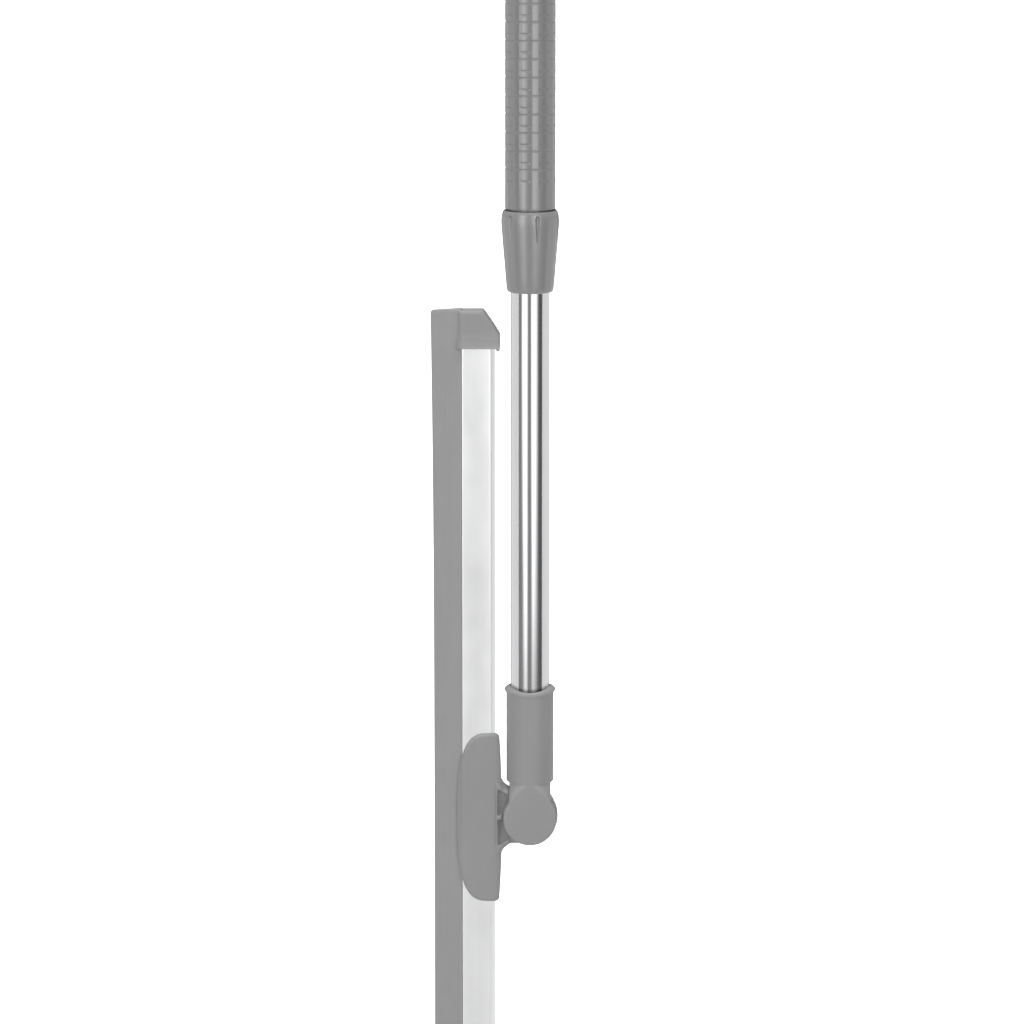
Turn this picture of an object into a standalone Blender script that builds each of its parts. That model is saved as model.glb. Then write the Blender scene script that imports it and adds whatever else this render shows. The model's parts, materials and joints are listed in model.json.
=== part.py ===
"""A telescopic window squeegee, hanging by the eye of its handle with its head folded flat beside the tube.

The origin is the centre of the hanging eye. +Z is up along the handle, the front faces -Y, and the folded
head lies on the -X side. The handle's outer tube carries a grip and a twist lock, the inner tube slides in
it, and the head turns on a knuckle at the inner tube's foot. Every mesh is drawn about the knuckle's pivot,
so each object's origin lies on its own joint's axis.
"""

import math

import bmesh
import bpy
from mathutils import Matrix

MM = 0.001
GAP = 0.3 * MM
SHARP_ANGLE = math.radians(32)
ROUND_STEPS = 32
FINE_STEPS = 16

# Heights, measured up from the pivot of the head.
EYE_HEIGHT = 811.8 * MM
SOCKET_SHOULDER = 17.8 * MM
SOCKET_TOP = 66.4 * MM
SOCKET_FLOOR = 20.5 * MM
INNER_TUBE_TOP = 500.8 * MM
COLLAR_BOTTOM = 262.9 * MM
COLLAR_TOP = 303.0 * MM
OUTER_TUBE_BOTTOM = 290.8 * MM
OUTER_TUBE_TOP = 790.8 * MM

# Handle.
INNER_TUBE_RADIUS = 9.5 * MM
INNER_TUBE_WALL = 0.8 * MM
OUTER_TUBE_RADIUS = 11.0 * MM
OUTER_TUBE_WALL = 0.85 * MM
GRIP_RADIUS = 12.3 * MM
EYE_RADIUS = 5.5 * MM
EYE_TAB_HALF_DEPTH = 4.5 * MM
CAP_PLUG_LENGTH = 22 * MM
CAP_FLANGE_HEIGHT = 8 * MM

# Twist lock.
COLLAR_TOP_RADIUS = 14.1 * MM
COLLAR_BOTTOM_RADIUS = 11.3 * MM
SLEEVE_THREAD_RADIUS = 11.3 * MM
SLEEVE_FOOT = 272.8 * MM
SLEEVE_STEP = 288.5 * MM

# Knuckle.
BARREL_RADIUS = 11.7 * MM
LIP_RADIUS = 12.7 * MM
KNUCKLE_RADIUS = 13.2 * MM
KNUCKLE_HALF_DEPTH = 11.8 * MM
NECK_HALF_WIDTH = 10.3 * MM
SLOT_HALF_DEPTH = 4.6 * MM
SLOT_TOP = 14.6 * MM
PIVOT_SLEEVE_RADIUS = 4.0 * MM
PIVOT_SHANK_RADIUS = 1.9 * MM
NUT_CORNER_RADIUS = 4.0 * MM
SCREW_HEAD_RADIUS = 3.6 * MM
SCREW_SEAT = 8.6 * MM
WASHER_RADIUS = 9.5 * MM
TUBE_SCREW_BORE = 1.6 * MM
TUBE_SCREW_HEIGHT = (SOCKET_FLOOR + SOCKET_TOP) / 2

# Arm between the knuckle and the head.
TONGUE_RADIUS = 13.9 * MM
TONGUE_HALF_DEPTH = 3.4 * MM
FLANGE_HALF_DEPTH = 5.0 * MM
WEB_HALF_DEPTH = 2.6 * MM
FILLET_RADIUS = 7.0 * MM
FILLET_X = -7.6 * MM
ARM_HALF_HEIGHT = 21 * MM
ARM_TIP_X = -10.6 * MM

# Blade channel, seen in section: X across the folded head, Y through it.
CHANNEL_MOUTH_X = -33.5 * MM
CHANNEL_BACK_X = -17.2 * MM
CHANNEL_HALF_DEPTH = 5.0 * MM
CHANNEL_WALL = 1.1 * MM
CHANNEL_CHAMFER = 2.2 * MM
CHANNEL_RIB_X = -24.5 * MM
MOUTH_HALF_GAP = 2.1 * MM
CHANNEL_HALF_LENGTH = 240.8 * MM

# Rubber blade.
HEAD_HALF_LENGTH = 254.2 * MM
BLADE_REACH = 13.8 * MM
BLADE_END_FLARE = 2.2 * MM
BLADE_ROOT_HALF_DEPTH = 4.4 * MM
BLADE_EDGE_HALF_DEPTH = 1.1 * MM
BLADE_CORNER = 1.5 * MM

# End caps.
CAP_FOOT = 235.6 * MM
CAP_CROWN = 254.1 * MM
CAP_LEFT_X = -35.9 * MM
CAP_RIGHT_X = -14.7 * MM
CAP_HALF_DEPTH = 6.6 * MM
SKIRT_HALF_DEPTH = 8.0 * MM
SKIRT_HEIGHT = 4.5 * MM

# Bracket that clamps the channel.
BRACKET_LEFT_X = -36.2 * MM
BRACKET_CROWN_X = -20.0 * MM
BRACKET_HALF_HEIGHT = 43.0 * MM
BRACKET_SQUARENESS = 3.0
COVER_CORNER = 2.2 * MM
COVER_SIDE_X = -15.3 * MM
COVER_BULGE = 1.5 * MM
COVER_NOTCH_X = -16.2 * MM
COVER_NOTCH_HALF_HEIGHT = 14.6 * MM
REAR_RIGHT_X = -15.1 * MM
REAR_CORNER = 3.0 * MM
REAR_HALF_HEIGHT = 40.2 * MM
BRACKET_INNER_DEPTH = CHANNEL_HALF_DEPTH + GAP
BRACKET_OUTER_DEPTH = 7.6 * MM
BOSS_X = -21.9 * MM
BOSS_RADIUS = 1.9 * MM
CLAMP_SCREW_HEIGHTS = (-34 * MM, -14 * MM, 14 * MM, 34 * MM)
CLAMP_SHANK_RADIUS = 0.9 * MM
CLAMP_HEAD_RADIUS = 2.6 * MM


# ---------------------------------------------------------------- shared tools


def clear_scene():
    for obj in list(bpy.data.objects):
        bpy.data.objects.remove(obj, do_unlink=True)


def finish_of(name, colour, roughness, metallic=0.0):
    """A Principled material with one colour."""
    made = bpy.data.materials.new(name)
    made.use_nodes = True
    shader = made.node_tree.nodes["Principled BSDF"]
    shader.inputs["Base Color"].default_value = (*colour, 1.0)
    shader.inputs["Roughness"].default_value = roughness
    shader.inputs["Metallic"].default_value = metallic
    return made


def empty_at(name, parent=None, location=(0, 0, 0)):
    made = bpy.data.objects.new(name, None)
    made.parent = parent
    made.location = location
    bpy.context.scene.collection.objects.link(made)
    return made


def object_from(name, bm, parent, material=None):
    """Turns a bmesh into a named object, smooth where it is round and sharp at its edges."""
    bmesh.ops.recalc_face_normals(bm, faces=bm.faces)
    mesh = bpy.data.meshes.new(name)
    bm.to_mesh(mesh)
    bm.free()
    mesh.shade_smooth()
    mesh.set_sharp_from_angle(angle=SHARP_ANGLE)
    made = bpy.data.objects.new(name, mesh)
    made.parent = parent
    if material:
        mesh.materials.append(material)
    bpy.context.scene.collection.objects.link(made)
    return made


def cut_or_join(target, bm, operation):
    """Adds a Boolean to target, whose helper keeps the shape in bm."""
    helper = object_from(f"{target.name}_{operation.lower()}_{len(target.modifiers)}", bm, target.parent)
    helper.hide_render = True
    helper.display_type = "WIRE"
    modifier = target.modifiers.new(operation.title(), "BOOLEAN")
    modifier.operation = operation
    modifier.object = helper


def cut(target, bm):
    cut_or_join(target, bm, "DIFFERENCE")


def join(target, bm):
    cut_or_join(target, bm, "UNION")


def merged(*parts):
    """One bmesh that holds several separate shapes."""
    whole = bmesh.new()
    for part in parts:
        mesh = bpy.data.meshes.new("part")
        part.to_mesh(mesh)
        part.free()
        whole.from_mesh(mesh)
        bpy.data.meshes.remove(mesh)
    return whole


def prism(corners, along):
    """A closed solid: the polygon through corners, extruded by the vector along."""
    bm = bmesh.new()
    face = bm.faces.new([bm.verts.new(corner) for corner in corners])
    grown = bmesh.ops.extrude_face_region(bm, geom=[face])["geom"]
    bmesh.ops.translate(bm, verts=[v for v in grown if isinstance(v, bmesh.types.BMVert)], vec=along)
    bmesh.ops.recalc_face_normals(bm, faces=bm.faces)
    return bm


def plate(outline, front, back):
    """An outline of (x, z) points, extruded through the head's depth."""
    return prism([(x, front, z) for x, z in outline], (0, back - front, 0))


def block(low, high):
    """A box between two corners."""
    (x0, y0, z0), (x1, y1, z1) = low, high
    return plate([(x0, z0), (x1, z0), (x1, z1), (x0, z1)], y0, y1)


def round_rim(bm, depth, width, steps=2):
    """Rounds the edges of a plate that lie in the plane y = depth."""
    rim = [e for e in bm.edges if all(abs(v.co.y - depth) < 1e-7 for v in e.verts)]
    bmesh.ops.bevel(bm, geom=rim, offset=width, segments=steps, profile=0.5, affect="EDGES")
    return bm


def turned(outline, steps=ROUND_STEPS, across=False, centre=(0, 0, 0)):
    """A (radius, height) outline turned about Z, or about Y if it lies across the head.

    An outline that starts and ends on the axis gives a solid piece, and any other one gives a ring.
    """
    bm = bmesh.new()
    points = [bm.verts.new((radius, 0, height)) for radius, height in outline]
    on_axis = outline[0][0] == 0 and outline[-1][0] == 0
    pairs = zip(points, points[1:]) if on_axis else zip(points, points[1:] + points[:1])
    edges = [bm.edges.new(pair) for pair in pairs]
    bmesh.ops.spin(
        bm, geom=points + edges, cent=(0, 0, 0), axis=(0, 0, 1), angle=math.tau, steps=steps, use_merge=True
    )
    bmesh.ops.remove_doubles(bm, verts=bm.verts, dist=1e-7)
    if across:
        bmesh.ops.transform(bm, matrix=Matrix.Rotation(-math.pi / 2, 4, "X"), verts=bm.verts)
    bmesh.ops.translate(bm, verts=bm.verts, vec=centre)
    bmesh.ops.recalc_face_normals(bm, faces=bm.faces)
    return bm


def rod(radius, low, high, steps=ROUND_STEPS, across=False, centre=(0, 0, 0)):
    return turned([(0, low), (radius, low), (radius, high), (0, high)], steps, across, centre)


def tube(outer, inner, low, high, steps=ROUND_STEPS, across=False):
    return turned([(outer, low), (outer, high), (inner, high), (inner, low)], steps, across)


def lofted(rings):
    """A closed solid through rings of points, each ring with the same number of points."""
    bm = bmesh.new()
    made = [[bm.verts.new(point) for point in ring] for ring in rings]
    for low, high in zip(made, made[1:]):
        for step in range(len(low)):
            after = (step + 1) % len(low)
            bm.faces.new((low[step], low[after], high[after], high[step]))
    bm.faces.new(made[0])
    bm.faces.new(made[-1])
    bmesh.ops.recalc_face_normals(bm, faces=bm.faces)
    return bm


def arc(centre_x, centre_z, radius, start, end, steps):
    """Points on a circle, from one angle in degrees to another."""
    turns = [math.radians(start + (end - start) * i / steps) for i in range(steps + 1)]
    return [(centre_x + radius * math.cos(a), centre_z + radius * math.sin(a)) for a in turns]


def mirrored(upper):
    """An outline that is symmetric about z = 0, from its upper half listed top to bottom."""
    return upper + [(x, -z) for x, z in reversed(upper) if z > 1e-9]


def settle(obj):
    """Replaces an object's mesh with the result of its Booleans, and drops their helpers."""
    if not obj.modifiers:
        return
    helpers = [modifier.object for modifier in obj.modifiers]
    graph = bpy.context.evaluated_depsgraph_get()
    mesh = bpy.data.meshes.new_from_object(obj.evaluated_get(graph))
    mesh.name = obj.name
    obj.modifiers.clear()
    obj.data = mesh
    mesh.shade_smooth()
    mesh.set_sharp_from_angle(angle=SHARP_ANGLE)
    for helper in helpers:
        bpy.data.objects.remove(helper)


# ---------------------------------------------------------------- handle


def make_outer_tube(finish, parent):
    bore = OUTER_TUBE_RADIUS - OUTER_TUBE_WALL
    shape = tube(OUTER_TUBE_RADIUS, bore, OUTER_TUBE_BOTTOM, OUTER_TUBE_TOP)
    return object_from("outer_tube", shape, parent, finish)


def make_grip_sleeve(finish, parent):
    """A thin plastic sleeve pushed over the whole visible length of the outer tube."""
    bore = OUTER_TUBE_RADIUS + GAP
    foot = COLLAR_TOP + 0.7 * MM
    edge = 0.4 * MM
    outline = [
        (bore, foot),
        (GRIP_RADIUS - edge, foot),
        (GRIP_RADIUS, foot + edge),
        (GRIP_RADIUS, OUTER_TUBE_TOP - edge),
        (GRIP_RADIUS - edge, OUTER_TUBE_TOP),
        (bore, OUTER_TUBE_TOP),
    ]
    return object_from("grip_sleeve", turned(outline), parent, finish)


def make_top_cap(finish, parent):
    """The plug in the top of the outer tube, with a flat tab that holds the hanging eye."""
    plug_radius = OUTER_TUBE_RADIUS - OUTER_TUBE_WALL - GAP
    seat = OUTER_TUBE_TOP + GAP
    crown = seat + CAP_FLANGE_HEIGHT
    edge = 1.2 * MM
    body = turned([
        (0, OUTER_TUBE_TOP - CAP_PLUG_LENGTH),
        (plug_radius - edge, OUTER_TUBE_TOP - CAP_PLUG_LENGTH),
        (plug_radius, OUTER_TUBE_TOP - CAP_PLUG_LENGTH + edge),
        (plug_radius, seat),
        (GRIP_RADIUS, seat),
        (GRIP_RADIUS, crown - edge),
        (GRIP_RADIUS - edge, crown),
        (0, crown),
    ])
    cap = object_from("top_cap", body, parent, finish)
    tab_foot = seat + CAP_FLANGE_HEIGHT / 2
    tab_outline = arc(0, EYE_HEIGHT, GRIP_RADIUS, 0, 180, 16)
    tab_outline += [(-GRIP_RADIUS + edge, tab_foot), (GRIP_RADIUS - edge, tab_foot)]
    tab = plate(tab_outline, -EYE_TAB_HALF_DEPTH, EYE_TAB_HALF_DEPTH)
    round_rim(tab, -EYE_TAB_HALF_DEPTH, edge)
    round_rim(tab, EYE_TAB_HALF_DEPTH, edge)
    join(cap, tab)
    reach = 2 * EYE_TAB_HALF_DEPTH
    cut(cap, rod(EYE_RADIUS, -reach, reach, 24, across=True, centre=(0, 0, EYE_HEIGHT)))
    return cap


def make_lock_sleeve(finish, parent):
    """The threaded bush on the foot of the outer tube, which the lock collar screws onto."""
    bore = INNER_TUBE_RADIUS + GAP
    ledge = OUTER_TUBE_BOTTOM - GAP
    tube_bore = OUTER_TUBE_RADIUS + GAP
    thread_depth = 0.5 * MM
    thread_pitch = 4 * MM
    outline = [(bore, SLEEVE_FOOT), (SLEEVE_THREAD_RADIUS - thread_depth, SLEEVE_FOOT)]
    for turn in range(4):
        base = SLEEVE_FOOT + thread_pitch * (turn + 0.25)
        outline.append((SLEEVE_THREAD_RADIUS - thread_depth, base))
        outline.append((SLEEVE_THREAD_RADIUS, base + thread_pitch * 0.3))
        outline.append((SLEEVE_THREAD_RADIUS, base + thread_pitch * 0.45))
    rim = GRIP_RADIUS + 0.1 * MM
    rise = 0.4 * MM
    outline += [
        (SLEEVE_THREAD_RADIUS, SLEEVE_STEP),
        (rim, SLEEVE_STEP + 1 * MM),
        (rim, COLLAR_TOP + rise),
        (tube_bore, COLLAR_TOP + rise),
        (tube_bore, ledge),
        (bore, ledge),
    ]
    return object_from("lock_sleeve", turned(outline), parent, finish)


def make_collet_ring(finish, parent):
    """A split tapered ring, which the lock collar squeezes onto the inner tube."""
    bore = INNER_TUBE_RADIUS + GAP
    foot = COLLAR_BOTTOM + 2.6 * MM
    top = SLEEVE_FOOT - GAP
    outline = [(bore, foot), (bore + 0.5 * MM, foot), (bore + 1.0 * MM, top), (bore, top)]
    ring = object_from("collet_ring", turned(outline), parent, finish)
    split = 1 * MM
    cut(ring, block((-split, 0, foot - split), (split, COLLAR_TOP_RADIUS, top + split)))
    return ring


def make_lock_collar(finish, parent):
    """The tapered nut of the twist lock, with shallow grip dents below its shoulder."""
    height = COLLAR_TOP - COLLAR_BOTTOM
    shoulder = 3 * MM
    edge = 0.6 * MM
    swell = 0.7 * MM
    outer = [(COLLAR_BOTTOM_RADIUS - edge, COLLAR_BOTTOM), (COLLAR_BOTTOM_RADIUS, COLLAR_BOTTOM + edge)]
    for step in range(1, 6):
        share = step / 6
        straight = COLLAR_BOTTOM_RADIUS + (COLLAR_TOP_RADIUS - COLLAR_BOTTOM_RADIUS) * share
        outer.append((straight + swell * math.sin(math.pi * share), COLLAR_BOTTOM + height * share * 0.92))
    lip = GRIP_RADIUS + 1.1 * MM
    outer += arc(COLLAR_TOP_RADIUS - shoulder * 0.4, COLLAR_TOP - shoulder, shoulder * 0.4, 0, 45, 2)
    outer += [(lip, COLLAR_TOP - edge), (lip - edge, COLLAR_TOP)]
    sleeve_bore = GRIP_RADIUS + 0.4 * MM
    thread_bore = SLEEVE_THREAD_RADIUS + GAP
    ledge = SLEEVE_STEP - GAP
    tube_bore = INNER_TUBE_RADIUS + 0.4 * MM
    inner = [
        (sleeve_bore, COLLAR_TOP),
        (sleeve_bore, ledge),
        (thread_bore, ledge - 0.4 * MM),
        (thread_bore, SLEEVE_FOOT),
        (tube_bore + 0.9 * MM, COLLAR_BOTTOM + 2.2 * MM),
        (tube_bore, COLLAR_BOTTOM + 2.2 * MM),
        (tube_bore, COLLAR_BOTTOM),
    ]
    collar = object_from("lock_collar", turned(outer + inner), parent, finish)
    cut(collar, collar_dents(height))
    return collar


def collar_dents(height):
    """Six slim drop-shaped cutters around the wide end of the collar."""
    dents = []
    centre = (COLLAR_TOP_RADIUS + 0.3 * MM, 0, COLLAR_TOP - 0.24 * height)
    for turn in range(6):
        dent = bmesh.new()
        bmesh.ops.create_uvsphere(dent, u_segments=8, v_segments=6, radius=1)
        bmesh.ops.scale(dent, verts=dent.verts, vec=(1.0 * MM, 1.4 * MM, 6.5 * MM))
        bmesh.ops.translate(dent, verts=dent.verts, vec=centre)
        angle = math.radians(60 * turn - 75)
        bmesh.ops.rotate(dent, verts=dent.verts, matrix=Matrix.Rotation(angle, 3, "Z"))
        dents.append(dent)
    return merged(*dents)


# ---------------------------------------------------------------- lower pole


def make_inner_tube(finish, parent):
    bore = INNER_TUBE_RADIUS - INNER_TUBE_WALL
    shape = tube(INNER_TUBE_RADIUS, bore, SOCKET_FLOOR + GAP, INNER_TUBE_TOP)
    inner_tube = object_from("inner_tube", shape, parent, finish)
    cut(inner_tube, tube_screw_bore(bore - 2 * MM, INNER_TUBE_RADIUS + 1 * MM))
    return inner_tube


def tube_screw_bore(low, high):
    """The hole at the back for the screw that holds the inner tube in its socket."""
    return rod(TUBE_SCREW_BORE, low, high, FINE_STEPS, across=True, centre=(0, 0, TUBE_SCREW_HEIGHT))


def make_guide_plug(finish, parent):
    """The plug that closes the top of the inner tube and guides it in the outer tube."""
    plug = INNER_TUBE_RADIUS - INNER_TUBE_WALL - GAP
    guide = OUTER_TUBE_RADIUS - OUTER_TUBE_WALL - GAP
    foot = INNER_TUBE_TOP - 12 * MM
    seat = INNER_TUBE_TOP + GAP
    crown = INNER_TUBE_TOP + 8 * MM
    edge = 1 * MM
    outline = [
        (0, foot), (plug - edge, foot), (plug, foot + edge), (plug, seat),
        (guide, seat), (guide, crown - edge), (guide - edge, crown), (0, crown),
    ]
    return object_from("guide_plug", turned(outline), parent, finish)


def rounded_ring(half_width, half_depth, corner, height):
    """Points round a rectangle with round corners, in a level plane."""
    corner = min(corner, half_width)
    points = []
    for quarter, (side_x, side_y) in enumerate(((1, 1), (-1, 1), (-1, -1), (1, -1))):
        for step in range(FINE_STEPS // 2):
            angle = math.pi / 2 * (quarter + (step + 0.5) / (FINE_STEPS // 2))
            x = side_x * (half_width - corner) + corner * math.cos(angle)
            y = side_y * (half_depth - corner) + corner * math.sin(angle)
            points.append((x, y, height))
    return points


def socket_rings():
    """Level sections of the socket: a flat-sided disc, a neck that turns round, and a barrel with a lip."""
    knuckle_rim = 1.4 * MM
    neck_start = math.degrees(math.acos(NECK_HALF_WIDTH / KNUCKLE_RADIUS))
    rings = [
        rounded_ring(half_width, KNUCKLE_HALF_DEPTH, knuckle_rim, height)
        for half_width, height in arc(0, 0, KNUCKLE_RADIUS, -85, neck_start, 12)
    ]
    rings.append(rounded_ring(NECK_HALF_WIDTH, KNUCKLE_HALF_DEPTH, 0.5 * BARREL_RADIUS, 13 * MM))
    rings.append(rounded_ring(NECK_HALF_WIDTH, BARREL_RADIUS, NECK_HALF_WIDTH, SOCKET_SHOULDER - 0.6 * MM))
    for radius, height in (
        (BARREL_RADIUS, SOCKET_SHOULDER), (BARREL_RADIUS, SOCKET_TOP - 4.2 * MM),
        (LIP_RADIUS, SOCKET_TOP - 2.4 * MM), (LIP_RADIUS - 0.2 * MM, SOCKET_TOP - 1.8 * MM),
        (INNER_TUBE_RADIUS + 1 * MM, SOCKET_TOP),
    ):
        rings.append(rounded_ring(radius, radius, radius, height))
    return rings


def make_pole_socket(finish, parent):
    """The moulded foot of the pole: a barrel for the inner tube above a forked knuckle."""
    shape = lofted(socket_rings())
    socket = object_from("pole_socket", shape, parent, finish)
    bore = INNER_TUBE_RADIUS + GAP
    cut(socket, rod(bore, SOCKET_FLOOR, SOCKET_TOP + 1 * MM))
    reach = 1.3 * KNUCKLE_RADIUS
    cut(socket, block((-reach, -SLOT_HALF_DEPTH, -reach), (reach, SLOT_HALF_DEPTH, SLOT_TOP)))
    cut(socket, merged(*knuckle_bores()))
    return socket


def knuckle_bores():
    """The holes for the pivot screw, its nut, its head and the screw that holds the inner tube."""
    nut_floor = -SLOT_HALF_DEPTH - 2.8 * MM
    nut_pocket = rod(NUT_CORNER_RADIUS + GAP, nut_floor, -SLOT_HALF_DEPTH + 1 * MM, 6, across=True)
    thin = PIVOT_SHANK_RADIUS + GAP
    thick = SCREW_HEAD_RADIUS + GAP
    seat = SCREW_SEAT - 0.2 * MM
    mouth = KNUCKLE_HALF_DEPTH + 1 * MM
    start = SLOT_HALF_DEPTH - 1 * MM
    screw_bore = [(0, start), (thin, start), (thin, seat), (thick, seat), (thick, mouth), (0, mouth)]
    tube_screw = tube_screw_bore(INNER_TUBE_RADIUS - 0.5 * MM, BARREL_RADIUS + 1 * MM)
    return [nut_pocket, turned(screw_bore, 24, across=True), tube_screw]


def make_socket_screw(finish, parent):
    """The small screw at the back that pins the inner tube in its socket."""
    shank = TUBE_SCREW_BORE - 0.4 * MM
    head = TUBE_SCREW_BORE + 1 * MM
    tip = INNER_TUBE_RADIUS - 2.3 * MM
    seat = BARREL_RADIUS + GAP
    outline = [
        (0, tip), (shank, tip + 0.6 * MM), (shank, seat), (head, seat),
        (head, seat + 0.6 * MM), (head - 0.8 * MM, seat + 1.2 * MM), (0, seat + 1.4 * MM),
    ]
    shape = turned(outline, FINE_STEPS, across=True, centre=(0, 0, TUBE_SCREW_HEIGHT))
    return object_from("socket_screw", shape, parent, finish)


def make_pivot_screw(finish, parent):
    """The screw that the head turns on, put in from the back."""
    crown = SCREW_SEAT + 1.4 * MM
    outline = [
        (0, -7.2 * MM), (PIVOT_SHANK_RADIUS, -7.0 * MM), (PIVOT_SHANK_RADIUS, SCREW_SEAT),
        (SCREW_HEAD_RADIUS, SCREW_SEAT), (SCREW_HEAD_RADIUS, crown), (0, crown),
    ]
    return object_from("pivot_screw", turned(outline, 24, across=True), parent, finish)


def make_pivot_nut(finish, parent):
    """The hexagonal nut caught in the inside of the front cheek."""
    low = -SLOT_HALF_DEPTH - 2.5 * MM
    high = -SLOT_HALF_DEPTH - 0.2 * MM
    nut = object_from("pivot_nut", rod(NUT_CORNER_RADIUS, low, high, 6, across=True), parent, finish)
    cut(nut, rod(PIVOT_SHANK_RADIUS + 0.2 * MM, low - GAP, high + GAP, FINE_STEPS, across=True))
    return nut


def make_pivot_sleeve(finish, parent):
    """The steel bush on the pivot screw, which the head's tongue turns on."""
    bore = PIVOT_SHANK_RADIUS + 0.25 * MM
    reach = SLOT_HALF_DEPTH - 0.15 * MM
    shape = tube(PIVOT_SLEEVE_RADIUS, bore, -reach, reach, 24, across=True)
    return object_from("pivot_sleeve", shape, parent, finish)


def make_friction_washer(name, side, finish, parent):
    """A thin washer between the tongue and one cheek, which keeps the head where it is turned."""
    near = TONGUE_HALF_DEPTH + 0.25 * MM
    far = SLOT_HALF_DEPTH - 0.25 * MM
    low, high = sorted((side * near, side * far))
    ring = tube(WASHER_RADIUS, PIVOT_SLEEVE_RADIUS + GAP, low, high, across=True)
    return object_from(name, ring, parent, finish)


def make_screw_cap(finish, parent):
    """The round plug that hides the pivot screw's head."""
    foot = SCREW_SEAT + 1.7 * MM
    crown = KNUCKLE_HALF_DEPTH + 0.2 * MM
    outline = [
        (0, foot), (SCREW_HEAD_RADIUS, foot), (SCREW_HEAD_RADIUS, crown - 0.4 * MM),
        (SCREW_HEAD_RADIUS - 0.6 * MM, crown), (0, crown),
    ]
    return object_from("screw_cap", turned(outline, 24, across=True), parent, finish)


# ---------------------------------------------------------------- head


def bracket_top(right_x, corner, half_height):
    """The upper half of an oval, from its straight edge on the handle's side round to the rubber's side."""
    width = BRACKET_CROWN_X - BRACKET_LEFT_X
    power = 2 / BRACKET_SQUARENESS
    curve = []
    for step in range(13):
        angle = math.radians(90 * (1 - step / 12))
        across = width * math.cos(angle) ** power if step else 0.0
        up = half_height * math.sin(angle) ** power if step < 12 else 0.0
        curve.append((BRACKET_CROWN_X - across, up))
    return arc(right_x - corner, half_height - corner, corner, 0, 90, 4) + curve


def side_x(height):
    """The edge of the bracket on the handle's side, which bows out towards the arm."""
    return COVER_SIDE_X + COVER_BULGE * (1 - (height / BRACKET_HALF_HEIGHT) ** 2)


def cover_outline():
    """The cover seen from the front, with a notch in its side for the recesses of the arm."""
    corner_height = BRACKET_HALF_HEIGHT - COVER_CORNER
    upper = [(COVER_NOTCH_X, COVER_NOTCH_HALF_HEIGHT)]
    steps = 5
    for step in range(steps):
        height = COVER_NOTCH_HALF_HEIGHT + (corner_height - COVER_NOTCH_HALF_HEIGHT) * step / steps
        upper.append((side_x(height), height))
    upper += bracket_top(side_x(corner_height), COVER_CORNER, BRACKET_HALF_HEIGHT)
    return mirrored(upper)


def clamp_rods(radius, low, high, steps=FINE_STEPS):
    """Four short rods, one at each clamp screw."""
    centres = [(BOSS_X, 0, height) for height in CLAMP_SCREW_HEIGHTS]
    return merged(*[rod(radius, low, high, steps, across=True, centre=centre) for centre in centres])


def make_bracket_cover(finish, parent):
    """The half-oval cover on the front of the channel, with four bosses that reach through it."""
    shell = plate(cover_outline(), -BRACKET_OUTER_DEPTH, -BRACKET_INNER_DEPTH)
    round_rim(shell, -BRACKET_OUTER_DEPTH, 1.6 * MM, 3)
    cover = object_from("bracket_cover", shell, parent, finish)
    boss_end = CHANNEL_HALF_DEPTH - CHANNEL_WALL - GAP
    join(cover, clamp_rods(BOSS_RADIUS, -BRACKET_INNER_DEPTH - 1 * MM, boss_end))
    cut(cover, clamp_rods(CLAMP_SHANK_RADIUS + GAP, -BRACKET_INNER_DEPTH + 1 * MM, boss_end + 1 * MM))
    return cover


def arm_fillet():
    """The concave curve from the spine to the tongue, from the spine inwards."""
    return arc(FILLET_X, ARM_HALF_HEIGHT, FILLET_RADIUS, 180, 270, 8)


def flange_outline():
    """The full-depth part of the arm, which stops clear of the knuckle's cheeks."""
    root_x = CHANNEL_BACK_X + 2 * GAP
    clear = KNUCKLE_RADIUS + 0.5 * MM
    upper = [(root_x, ARM_HALF_HEIGHT + 1 * MM)]
    upper += [point for point in arm_fillet() if point[0] < ARM_TIP_X - 0.4 * MM]
    fall = math.sqrt(FILLET_RADIUS**2 - (ARM_TIP_X - FILLET_X) ** 2)
    upper.append((ARM_TIP_X, ARM_HALF_HEIGHT - fall))
    start = math.degrees(math.acos(ARM_TIP_X / clear))
    upper += arc(0, 0, clear, start, 180, 6)
    return mirrored(upper)


def tongue_outline():
    """The thin part of the arm: the round tongue in the fork and the web that carries it."""
    root_x = CHANNEL_BACK_X + 2 * GAP
    upper = [(root_x, ARM_HALF_HEIGHT - 0.5 * MM)] + arm_fillet()[1:-1]
    upper += arc(0, 0, TONGUE_RADIUS, 90, 0, 12)
    return mirrored(upper)


def pocket_outline():
    """One of the two recesses between the arm's flanges and its middle rib."""
    left = CHANNEL_BACK_X + 1.1 * MM
    left_top = ARM_HALF_HEIGHT - 6.6 * MM
    right = ARM_TIP_X - 0.7 * MM
    right_top = left_top - 2.8 * MM
    rib = 1.1 * MM
    hub = KNUCKLE_RADIUS + 0.1 * MM
    start = 133.8
    end = 180 - math.degrees(math.asin(rib / hub))
    return [(left, rib), (left, left_top), (right, right_top)] + arc(0, 0, hub, start, end, 5)


def arm_pockets():
    pockets = []
    reach = BRACKET_OUTER_DEPTH + 1 * MM
    for front, back in ((-reach, -WEB_HALF_DEPTH), (WEB_HALF_DEPTH, reach)):
        for side in (1, -1):
            pockets.append(plate([(x, side * z) for x, z in pocket_outline()], front, back))
    return merged(*pockets)


def spine_outline():
    """The strip along the channel's back edge, widest where the arm leaves it."""
    root_x = CHANNEL_BACK_X + GAP
    half = REAR_HALF_HEIGHT - 2.4 * MM
    steps = 8
    upper = [(root_x, half)]
    for step in range(steps + 1):
        height = half * (1 - step / steps)
        upper.append((side_x(height) - 0.1 * MM, height))
    lower = [(x, -z) for x, z in reversed(upper[:-1])]
    return upper + lower


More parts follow.
